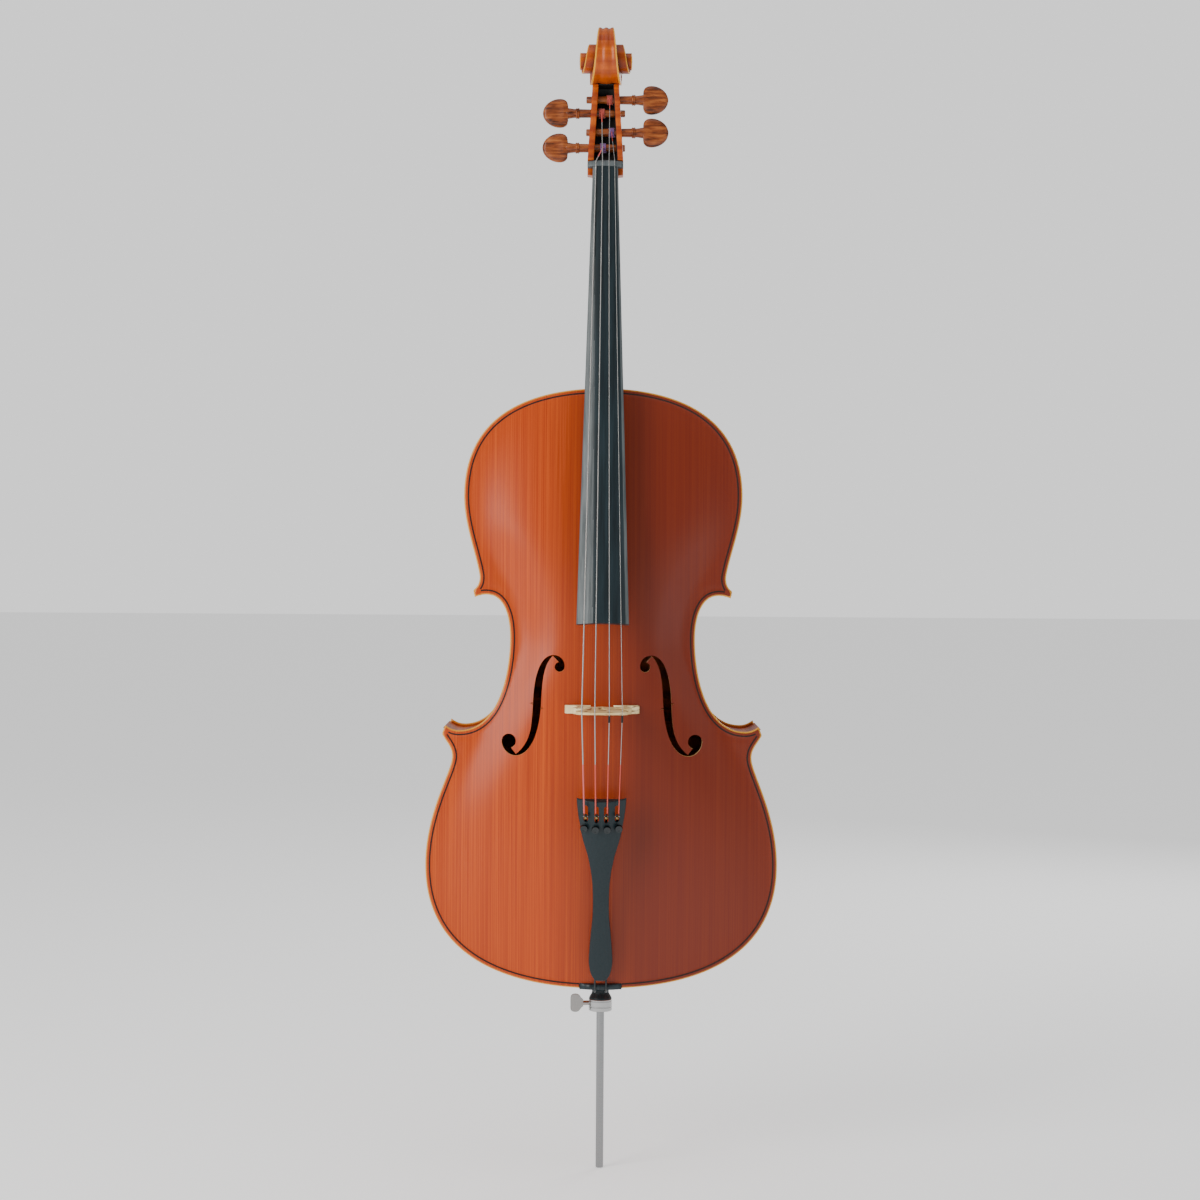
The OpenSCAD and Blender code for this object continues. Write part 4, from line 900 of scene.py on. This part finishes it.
def makeBoard():
    # sections across the board: a crowned face with a flat for the lowest string, straight sides and
    # a scooped underside
    s = np.linspace(0, -boardLength, 60)
    half = (board["halfNut"] + (board["halfEnd"] - board["halfNut"]) * -s / boardLength)[:, None]
    u = np.linspace(-1, 1, 49)[None]
    x = half * u
    crown = board["radius"] - np.sqrt(board["radius"] ** 2 - x * x)
    start = board["radius"] - math.sqrt(board["radius"] ** 2 - board["flatFrom"] ** 2)
    flat = start + math.tan(math.radians(board["flatTurn"])) * (board["flatFrom"] - x)
    top = np.where(x < board["flatFrom"], np.maximum(crown, flat), crown)
    top = top + 0.7 * np.clip((np.abs(u) - 0.975) / 0.025, 0, 1)
    glue = glueThick(s)[:, None]
    deep = ease((-s - (boardLength - board["scoop"])) / 6)[:, None]
    v = np.linspace(1, -1, 25)[None]
    scoop = np.maximum(0, 8.0 - (40 - np.sqrt(1600 - np.minimum(half * v, 39.9) ** 2))) * deep
    under = np.broadcast_to(glue, scoop.shape) - np.minimum(scoop, glue - 4.5)
    x, y = np.concatenate([x, half * v], axis=1), np.concatenate([top, under], axis=1)
    points, sets = loft(onBoard(x, y, s[:, None]))
    quads = sets[0][0]
    column = np.arange(len(quads)) % x.shape[1]
    onFlat = points[quads].mean(1)[:, 0] < board["flatFrom"] - 0.5
    # painted sheen: the flat under the lowest string and the columns at the right edge take a lighter grey, standing
    # in for the light these facets catch
    greyAndSheen = (column < u.size - 1) & (onFlat | (column >= u.size - 4))
    makePiece("fingerboardWood", points, [(quads[~greyAndSheen], 0), (quads[greyAndSheen], 1)] + sets[1:], root, "black_board",
              [looks["ebony"], looks["greyAndSheen"]], ["fingerboard"], 20)


def makeNut():
    # the nut's section, rounded over the top, carried across the board
    x = np.linspace(-22.75, 22.75, 41)
    crown = -board["nutUp"] + board["radius"] - np.sqrt(board["radius"] ** 2 - x * x)
    crown = crown + 1.0 * np.clip((np.abs(x) - 21.9) / 0.85, 0, 1)
    h = board["nutTall"]
    profile = np.array([(1, 0), (0, 0), (0, 0.25), (0, 0.8), (0, 2.5), (0, 4.8), (0, 6.6), (0, 7.8),
                        (0, h), (1, h)])
    lift = np.array([0, 1.0, 0.35, 0.0, 0.0, 0.5, 1.3, 2.3, 3.4, 0])
    y = np.where(profile[:, 0] == 1, board["thickNut"], crown[:, None] + lift[None])
    makePiece("nutWood", *loft(onBoard(x[:, None], y, profile[:, 1][None] + 0 * y)), root, "black_board",
              [looks["greyAndSheen"]], ["nut"], 40)


def makeSaddle():
    # a low block across the bottom edge, its crown raised by 6 in the middle
    x = np.linspace(-26.5, 26.5, 45)
    rise = 1.0 + 6.0 * ease((26.5 - np.abs(x)) / 14.5)
    shape = np.array([(0, 4.0), (0, 7.0), (0.35, 7.0), (0.85, 5.9), (1.0, 4.0), (0.97, 1.6), (0.75, -0.4),
                      (0, -0.6)])
    y = faceY - shape[:, 0][None] * rise[:, None]
    y[:, :2] = -body["ribHalf"] + 0.1
    y[:, 7] = faceY
    z = np.broadcast_to(body["z"] + shape[:, 1][None], y.shape)
    solid = loft(np.stack([np.broadcast_to(x[:, None], y.shape), y, z], axis=-1))
    makePiece("saddleWood", *solid, root, "black_board", [looks["ebony"]], ["saddle"], 40)


makeBoard()
makeNut()
makeSaddle()
print("fingerboard, nut and saddle fitted")


# ---- Bridge ----

bridge = {"z": 353.0, "top": 114.5, "half": 46.5, "footThick": 11.0, "crownThick": 2.8, "round": 0.5,
          "step": 2.2}
stringX = {
    "nut": [-11.9, -3.7, 4.6, 11.7],
    "bridge": [-24.6, -8.8, 8.8, 24.6],
    "tail": [-21.2, -7.1, 7.1, 21.2],
    "winding": [-3, -5, 5.2, 7.6],
}
stringD = [1.7, 1.35, 1.05, 0.8]


def bridgeCrown(x):
    return bridge["top"] + np.sqrt(board["radius"] ** 2 - np.asarray(x, float) ** 2) - board["radius"]


def makeBridge():
    # a carved sheet across the body: feet that fit the arch, ankles, heart and kidneys, and a curved crown
    foot = np.linspace(bridge["half"], 14, 14)
    sole = arch(foot, np.full(foot.shape, bridge["z"]), body["topArch"]) + 0.1
    arc = chain((14, sole[-1]), [
        [(15.5, 25), (21, 27), (25, 29)], [(31, 33), (25, 45), (14, 46.5)], [(8, 47.5), (3, 45), (0, 41)]], 12)
    crown = np.linspace(0, 26.5, 14)
    flank = chain((26.5, bridgeCrown(26.5)), [
        [(29, 104), (33, 99), (32, 92)], [(31, 84), (23, 85), (23, 76)], [(23, 69), (33, 67), (36, 58)],
        [(38.5, 50), (29, 43), (31, 36)], [(32.5, 29), (43, 31), (46.5, sole[0] + 3)]], 10)
    half = np.vstack([np.column_stack([crown, bridgeCrown(crown)]), flank[1:],
                      np.column_stack([foot, sole]), arc[1:]])
    loop = np.vstack([half, mirrorX(half[1:-1])])
    point = np.array([(-6.6, 70.6), (6.6, 70.6), (1.6, 60), (1.2, 55), (-1.2, 55), (-1.6, 60)])
    heart = [circle(-3.4, 73, 3.9, 24), circle(3.4, 73, 3.9, 24), point]
    kidney = [circle(18.5, 62, 5.6, 24), circle(22.5, 58, 4.6, 24)]
    cuts = heart + kidney + [mirrorX(k) for k in kidney]
    inLoop, inCuts = within([loop]), within(cuts)
    loops = [resample(loop, 1.6, closed=True)] + [resample(c, 1.4, closed=True) for c in cuts]
    flat, tris, rim = carve(loops, lambda p: inLoop(p) & ~inCuts(p), bridge["step"])
    thick = np.interp(flat[:, 1], [26, bridge["top"] + 5],
                      [bridge["footThick"], bridge["crownThick"]]) / 2
    rimPoints = np.zeros(len(flat), bool)
    rimPoints[rim.ravel()] = True
    upper = thick - np.where(rimPoints, bridge["round"], 0)
    z = body["z"] + bridge["z"]
    solid = slab(flat, tris, rim, upper, -upper,
                 lambda q: np.column_stack([q[:, 0], faceY - q[:, 1], z + q[:, 2]]))
    makePiece("bridgeWood", *solid, root, "bridge_maple", [looks["bridge"]], ["bridge"], 30)


makeBridge()
print("bridge cut")


# ---- Pegs and their windings ----

pegs = {
    "z": [1064, 1111, 1129.5, 1085],
    "side": [-1, -1, 1, 1],
    "back": 12.0,          # the axis behind the pegbox's front edge
    "wall": 22.5,
    "radius": 5.4,
    "taper": 0.02,
    "end": -24.0,
    "collar": 34.0,
    "head": 48.4,
    "headLong": 32.2,
    "headThick": 7.4,
}


def pegCentre(i):
    return np.array([0, headFront(pegs["z"][i]) + pegs["back"], body["z"] + pegs["z"][i]])


def pegRadius(x):
    return pegs["radius"] - pegs["taper"] * (pegs["wall"] - x)


def pegHead():
    # along the head: a rounded outline, and sections as |z/h|^2.4 + |y/t|^2.4 = 1, with a hollow thumb
    # rest on both faces
    edge = chain((0, 6), [[(-1, 12), (1, 16), (5, 17.6)], [(9, 19.2), (16, 18.8), (22, 15.5)],
                          [(29, 11.5), (32.0, 6), (32.2, 0.4)]], 12)
    tall = edge[:, 1]
    u = np.clip(edge[:, 0] / pegs["headLong"], 0, 1)
    thick = pegs["headThick"] * np.interp(u, [0, 0.15, 0.6, 0.9, 1], [0.85, 0.95, 0.85, 0.55, 0.2])
    a = np.linspace(0, 2 * np.pi, 48, endpoint=False)
    c, s = np.cos(a), np.sin(a)
    z = tall[:, None] * (np.sign(c) * np.abs(c) ** (2 / 2.4))
    y = thick[:, None] * (np.sign(s) * np.abs(s) ** (2 / 2.4))
    middle = np.exp(-(((u[:, None] - 0.5) / 0.34) ** 2))
    dish = 0.30 * np.exp(-((z / np.maximum(tall[:, None], 1) / 0.62) ** 2)) * middle
    x = np.broadcast_to(pegs["head"] + edge[:, :1] - 0.2, z.shape)
    return loft(np.stack([x, y * (1 - dish), z], axis=-1))


def makePeg(i):
    name = stringNames[i]
    centre, side = pegCentre(i), pegs["side"][i]
    c, h, end = pegs["collar"], pegs["head"], pegs["end"]
    tip = pegRadius(end)
    shaft = [(tip - 1.6, end - 1.0), (tip - 0.5, end - 0.8), (tip, end), (pegRadius(0), 0),
             (pegRadius(pegs["wall"]), pegs["wall"]), (5.6, c - 1.2), (5.7, c - 0.7), (6.5, c - 0.3),
             (7.0, c + 0.4), (7.0, c + 1.2), (6.4, c + 1.6), (6.4, c + 2.0), (7.0, c + 2.4), (7.0, c + 3.2),
             (6.6, c + 3.8), (5.8, c + 4.3), (5.7, c + 5.2), (5.9, c + 7.5), (6.4, c + 10.5), (7.0, h),
             (6.0, h + 2.5)]
    points, sets = merge(turned(shaft, (0, 0, 0), (1, 0, 0), 40), pegHead())
    makePiece(f"peg_{name}_wood", points * [side, 1, 1] + centre, sets, f"peg_{name}_body", "rosewood",
              [looks["rosewood"]], [f"peg_{name}"], 40)


def makeWinding(i):
    # a string coiled round the peg: a helix whose pitch is a little over the thread's thickness
    name = stringNames[i]
    centre, x0 = pegCentre(i), stringX["winding"][i]
    turn = np.linspace(0, 2 * np.pi * 5.6, 220)
    x = x0 - 3.8 + 7.6 * turn / turn[-1]
    r = pegRadius(pegs["side"][i] * x) + 0.72
    path = np.stack([x, centre[1] + r * np.sin(turn), centre[2] + r * np.cos(turn)], axis=1)
    look = looks["silkPurple"] if name in ("c", "a") else looks["silkRed"]
    makePiece(f"winding_{name}_thread", *tube(path, 0.66, 8, (1, 0, 0)), f"peg_{name}_body", "silk",
              [look], [f"winding_{name}"], 60)


for index in range(4):
    makePeg(index)
    makeWinding(index)
print("pegs turned")


# ---- Tailpiece and fine tuners ----

tail = {
    "long": 240.0,
    "radius": 44.0,
    "tilt": 16.0,          # degrees, the lower end nearer the body
    "topZ": 243.0,
    "topD": 82.0,
    "slotHalf": 2.7,
    "slotLow": 6.0,
    "slotHigh": 28.0,
    "screwS": 35.0,
    "step": 2.2,
    "round": 1.1,
}
slotX = [-19.2, -5.9, 5.9, 19.2]
screwX = [-21.6, -7.2, 7.2, 21.6]
tailHalf = np.array([(0, 30.7), (9, 30.1), (22, 28.6), (32, 26.7), (42, 25.3), (55, 22.1), (73, 16.4),
                     (93, 12.5), (110, 10.7), (125, 10), (144, 10), (157, 10.4), (177, 12.4), (197, 14),
                     (216, 15), (229, 13), (236, 10), (240, 6)], float)
tailCos, tailSin = math.cos(math.radians(tail["tilt"])), math.sin(math.radians(tail["tilt"]))


def onTail(q):
    # from the tailpiece's own frame: x across, s down from its upper end, n out of it
    q = np.asarray(q, float)
    x, s, n = q[..., 0], q[..., 1], q[..., 2]
    return np.stack([x, faceY - tail["topD"] + s * tailSin - n * tailCos,
                     body["z"] + tail["topZ"] - s * tailCos - n * tailSin], axis=-1)


def faceN(x):
    return np.sqrt(tail["radius"] ** 2 - np.minimum(np.abs(x), 40) ** 2) - tail["radius"]


def makeTailpiece():
    # a carved sheet: a rounded face, and an underside that is thin under the slots and thick lower down
    s = np.linspace(0, tail["long"], 110)
    stated, window = np.interp(s, *tailHalf.T), np.hanning(7)
    half = np.convolve(np.pad(stated, 3, "edge"), window / window.sum(), "valid")
    side = np.column_stack([np.minimum(half, stated + 0.4), s])
    loop = resample(np.vstack([side, mirrorX(side)]), 2.0, closed=True)
    r = tail["slotHalf"]
    slots = [np.vstack([circle(x, tail["slotLow"] + r, r, 24)[12:], circle(x, tail["slotHigh"] - r, r, 24)[:12]])
             for x in slotX]
    bores = [circle(x, tail["screwS"], 1.55, 16) for x in screwX]
    inLoop, inCuts = within([loop]), within(slots + bores)
    rings = [inward(loop, -d) for d in (0.3, 0.8, 1.5)]         # the loop runs the other way round here
    flat, tris, rim = carve([loop] + slots + bores, lambda p: inLoop(p) & ~inCuts(p), tail["step"],
                            [ring[inLoop(ring) & ~inCuts(ring)] for ring in rings])
    away = distanceTo(flat, loop)
    upper = faceN(flat[:, 0]) - roundOver(away, tail["round"])
    deep = np.interp(flat[:, 1], [0, 50, 110, tail["long"]], [-11, -12, -11, -9.5])
    shell = upper - 4.5
    wall = 1 - ease((away - 2.6) / 1.6)
    solid = ease((flat[:, 1] - 78) / 22)
    lower = shell + (deep - shell) * np.maximum(wall, solid)
    points, sets = slab(flat, tris, rim, upper, np.minimum(lower, upper - 1.5), onTail)
    makePiece("tailpieceBody", points, sets, root, "composite", [looks["composite"]], ["tailpiece"], 35)


pivot = {"s": 21.0, "n": -6.2}
stringStop = 14.0
screwFoot = -12.2
hookEdge = np.array([(stringStop + 5.5, 0.8), (stringStop + 3, 2.2)])


def makeTuner(i):
    # a lever on a pin, with a ball end in its hook, and the knurled screw that pushes it
    name = stringNames[i]
    s, n, end = pivot["s"], pivot["n"], tail["screwS"]
    lever = np.array([
        (s - 2.6, n - 2), (s + 1, screwFoot - 0.6), (end - 4, screwFoot - 2.6), (end + 3, screwFoot - 2.6),
        (end + 3, screwFoot - 0.1), (end - 6, screwFoot - 0.1), (s + 2.5, n - 1.8), (s + 1, n + 2.6),
        hookEdge[0], hookEdge[1], (stringStop + 1.2, 1.6), (stringStop + 1.8, -1.2)])
    x = slotX[i]
    solid = prism(lever, lambda q: onTail(np.column_stack([x + q[:, 2], q[:, 0], q[:, 1]])), -1.4, 1.4)
    bevel(makePiece(f"tuner_lever_{name}_plate", *solid, f"tuner_lever_{name}_body", "tuner_black",
                    [looks["blackMetal"]], [f"tuner_lever_{name}"], 30), 0.00025, 2)
    seat = faceN(abs(screwX[i]) - 2.5) + 0.5
    top = seat + 1.4
    profile = [(1.2, screwFoot), (1.5, screwFoot + 0.3), (1.5, seat), (2.5, seat), (2.5, top - 0.1),
               (4.2, top - 0.1), (4.7, top + 0.3), (4.7, top + 1.0), (4.7, top + 2.6), (4.7, top + 3.3),
               (4.35, top + 3.85), (3.9, top + 4.05), (3.2, top + 4.0), (2.2, top + 3.5), (1.0, top + 3.3)]
    origin = onTail([screwX[i], tail["screwS"], 0])
    solid = turned(profile, origin, (0, -tailCos, -tailSin), 96, 24, 0.28, (top + 0.5, top + 3.4))
    makePiece(f"tuner_screw_{name}_knob", *solid, f"tuner_screw_{name}_body", "tuner_knob",
              [looks["blackMetal"]], [f"tuner_screw_{name}"], 30)
    along = hookEdge[1] - hookEdge[0]
    along = along / np.linalg.norm(along)
    ball = hookEdge.mean(0) + 2.0 * np.array([along[1], -along[0]])
    a = np.linspace(0.08, np.pi - 0.08, 15)
    profile = np.column_stack([2.0 * np.sin(a), -2.0 * np.cos(a)])
    makePiece(f"ball_end_{name}_brass", *turned(profile, onTail([x, ball[0], ball[1]]), (1, 0, 0), 24),
              f"tuner_lever_{name}_body", "brass", [looks["brass"]], [f"ball_end_{name}"], 60)


makeTailpiece()
for index in range(4):
    makeTuner(index)
print("tailpiece and tuners made")


# ---- Strings and tailgut ----

def makeString(i):
    # straight runs from the tuner over the bridge and the nut to the peg, thicker where silk covers it
    name = stringNames[i]
    x = {key: stringX[key][i] for key in stringX}
    nutSpot = board["nutZ"] + board["nutTall"] - 2
    crown = math.sqrt(board["radius"] ** 2 - x["nut"] ** 2)
    nutD = board["over"] + board["slope"] * (body["length"] - nutSpot) + board["nutUp"] + crown - board["radius"]
    centre = pegCentre(i)
    corners = np.array([
        onTail([x["tail"], stringStop, 1.5]),
        [x["bridge"], faceY - bridgeCrown(x["bridge"]), body["z"] + bridge["z"]],
        [x["nut"], faceY - nutD, body["z"] + nutSpot],
        [x["winding"], centre[1] - pegRadius(0) - 1.4 - stringD[i] / 2 - 0.3, centre[2]]])
    path = []
    for k in range(3):
        share = np.linspace(0, 1, 60, endpoint=False)[:, None]
        path.append(corners[k] + (corners[k + 1] - corners[k]) * share)
    path = np.vstack(path + [corners[3:]])
    silk = (0.62, 0.09, 0.065) if i != 0 else (0.66, 0.13, 0.12)
    material = stringMaterial(f"string_{name}_winding", silk, (centre[2] - 14) * mm)
    radius = np.where(path[:, 2] < 530, stringD[i] / 2 + 0.18, stringD[i] / 2)
    makePiece(f"string_{name}_wire", *tube(path, radius, 12), root, "string_steel", [material],
              [f"string_{name}"], 60)


def makeGut():
    # two cords from the tailpiece over the saddle and round the endpin's plug
    cords = []
    for x in (-7.0, 7.0):
        points = np.array([onTail([x, 185, -6]), onTail([x, 241, -6]), [x, faceY - 8.3, 244.2],
                           [x, faceY - 8.0, 241], [x, faceY - 5.9, 237.9], [x, -11.5, 226.5]])
        path = resample(points, 1.2)
        for _ in range(6):
            path[1:-1] = (path[:-2] + 2 * path[1:-1] + path[2:]) / 4
        cords.append(tube(path, 1.2, 12, (1, 0, 0)))
    makePiece("tailgutCord", *merge(*cords), root, "gut_cord", [looks["gut"]], ["tailgut"], 60)


for index in range(4):
    makeString(index)
makeGut()
print("strings fitted")


# ---- Endpin ----

pin = {"rod": 5.0, "long": 480.0, "collarTop": -24.0, "collarLow": -39.0, "screwZ": -29.6}     # below the body


def makeEndpin():
    # a turned plug, a collar under it, a plain rod, and a thumb screw with a flat flag
    z = body["z"]
    r, long, low, high = pin["rod"], pin["long"], pin["collarLow"], pin["collarTop"]
    bore = r + 0.05
    up = (0, 0, 1)
    plug = [(bore, high), (14.0, high), (14.5, -23.4), (14.5, -22.4), (13.9, -21.2), (11.6, -17.2),
            (11, -15.5), (10.8, -13.8), (11, -12), (12.6, -10.8), (13.8, -10), (14, -9), (14, -2.6),
            (13.6, -1.4), (13, 0), (12.76, 4), (11.24, 30), (bore, 30)]
    makePiece("plugBody", *ringed(plug, (0, 0, z), up), root, "composite", [looks["composite"]], ["endpin_plug"], 30)
    collar = [(bore, low), (13.6, low), (14.6, -38.6), (15, -38), (15, -34.2), (14.4, -33.8), (14.4, -33.0),
              (15, -32.6), (15, -26.8), (14.4, -26.4), (14.4, -25.6), (15, -25.2), (15, -24.4),
              (14.7, high - 0.05), (bore, high - 0.05)]
    makePiece("collarRing", *ringed(collar, (0, 0, z), up), root, "chrome", [looks["chrome"]], ["endpin_collar"], 30)
    levels = (0.4, 60, 120, 200, 300, 400, 479.6)
    rod = [(4.2, 0.0), (4.6, 0.0)] + [(r, level) for level in levels] + [(4.6, long), (4.2, long)]
    makePiece("rodSteel", *turned(rod, (0, 0, 0), up, 64), "endpin", "steel", [looks["steel"]], ["endpin_rod"], 30)
    shaft = [(2.5, 0), (3.0, 0.4), (3.0, 17.2), (2.8, 17.4)]
    edge = chain((0, -4.5), [[(-2, -5), (-3, -7), (-4, -8.5)], [(-6, -11.5), (-9, -11.5), (-10, -11.5)],
                             [(-14, -11.5), (-16.4, -10), (-16.4, -6)]], 8)
    shape = np.vstack([edge, edge[::-1] * [1, -1]])
    screwZ = z + pin["screwZ"]
    flag = prism(shape, lambda q: np.column_stack([-22 + q[:, 0], q[:, 2], screwZ + q[:, 1]]), -2, 2)
    stem = turned(shaft, (-22.5, 0, screwZ), (1, 0, 0), 32)
    bevel(makePiece("thumbScrewSteel", *merge(stem, flag), "thumb_screw_body", "satin_nickel",
                    [looks["nickel"]], ["thumb_screw"], 30), 0.0006, 3)


makeEndpin()
print("endpin made")


# ---- CAD nodes that stay ----

keptNodes = {
    "linings_top": "bare", "linings_back": "bare",
    "neck_block": "bare", "end_block": "bare", "corner_blocks_upper": "bare", "corner_blocks_lower": "bare",
    "bass_bar": "bare", "sound_post": "bare",
    "string_sleeves": "rubber", "lever_pins": "steel", "tailgut_nuts": "brass", "endpin_stop": "steel",
}
for nodeName, look in keptNodes.items():
    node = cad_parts[nodeName]
    node.data.materials.clear()
    node.data.materials.append(looks[look])
print("kept nodes finished:", len(keptNodes))


# ---- Stage, light and camera ----

stage = {"floor": (0.93, 0.93, 0.93), "glow": 0.55, "half": 30.0}


def makeStage():
    # a flat pale floor, just below the tip of the endpin
    h = stage["half"]
    mesh = bpy.data.meshes.new("studioFloor")
    mesh.from_pydata([(-h, -h, -mm), (h, -h, -mm), (h, h, -mm), (-h, h, -mm)], [], [(0, 1, 2, 3)])
    floor = bpy.data.objects.new("studioFloor", mesh)
    bpy.context.scene.collection.objects.link(floor)
    material, shader = startMaterial("studioPaper", stage["floor"], 0.95, specular=0.0)
    shader.inputs["Emission Color"].default_value = (1, 1, 1, 1)
    shader.inputs["Emission Strength"].default_value = stage["glow"]
    bump = grain(material, (6, 6, 6))
    mesh.materials.append(finishMaterial(material, shader, None, None, bump, 0.02, 0.001))


def areaLight(name, spot, aim, size, power, colour=(1, 1, 1)):
    data = bpy.data.lights.new(name, "AREA")
    data.shape, data.size, data.size_y = "RECTANGLE", size[0], size[1]
    data.energy, data.color = power, colour
    lamp = bpy.data.objects.new(name, data)
    turn = (Vector(aim) - Vector(spot)).to_track_quat("-Z", "Y").to_matrix().to_4x4()
    lamp.matrix_world = Matrix.Translation(spot) @ turn
    bpy.context.scene.collection.objects.link(lamp)


light = {"key": 78.0, "rear": 30.0, "fill": 7.0, "top": 10.0, "world": 0.42, "backdrop": 1.15}


def makeLights():
    areaLight("keyLight", (-2.3, -2.2, 1.7), (0, 0, 0.75), (1.6, 2.4), light["key"], (1.0, 0.98, 0.95))
    areaLight("fillLight", (2.6, -2.0, 1.1), (0, 0, 0.7), (1.2, 2.2), light["fill"], (0.95, 0.97, 1.0))
    areaLight("topLight", (0.0, -0.6, 3.2), (0, 0, 0.8), (2.0, 1.6), light["top"])
    areaLight("rearLight", (1.6, 2.6, 2.0), (0, 0, 0.7), (1.4, 1.8), light["rear"])
    world = bpy.data.worlds.new("studioWorld")
    world.use_nodes = True
    nodes, join = world.node_tree.nodes, world.node_tree.links.new
    soft, plain = nodes["Background"], nodes.new("ShaderNodeBackground")
    choose = nodes.new("ShaderNodeMixShader")
    for node, power in ((soft, light["world"]), (plain, light["backdrop"])):
        node.inputs["Color"].default_value = (1, 1, 1, 1)
        node.inputs["Strength"].default_value = power
    join(choose.inputs["Fac"], nodes.new("ShaderNodeLightPath").outputs["Is Camera Ray"])
    join(choose.inputs[1], soft.outputs["Background"])
    join(choose.inputs[2], plain.outputs["Background"])
    join(nodes["World Output"].inputs["Surface"], choose.outputs["Shader"])
    bpy.context.scene.world = world


view = {"place": (0.0, -3.0135, 0.7786), "roll": -0.35, "lens": 70.4, "shiftX": -0.0025, "shiftY": -0.033}


def makeCamera():
    data = bpy.data.cameras.new("mainCamera")
    data.sensor_width, data.lens = 36, view["lens"]
    data.shift_x, data.shift_y = view["shiftX"], view["shiftY"]
    camera = bpy.data.objects.new("mainCamera", data)
    camera.location = view["place"]
    camera.rotation_euler = (math.radians(90), math.radians(view["roll"]), 0)
    bpy.context.scene.collection.objects.link(camera)
    bpy.context.scene.camera = camera


makeStage()
makeLights()
makeCamera()
print("stage, lights and camera set")
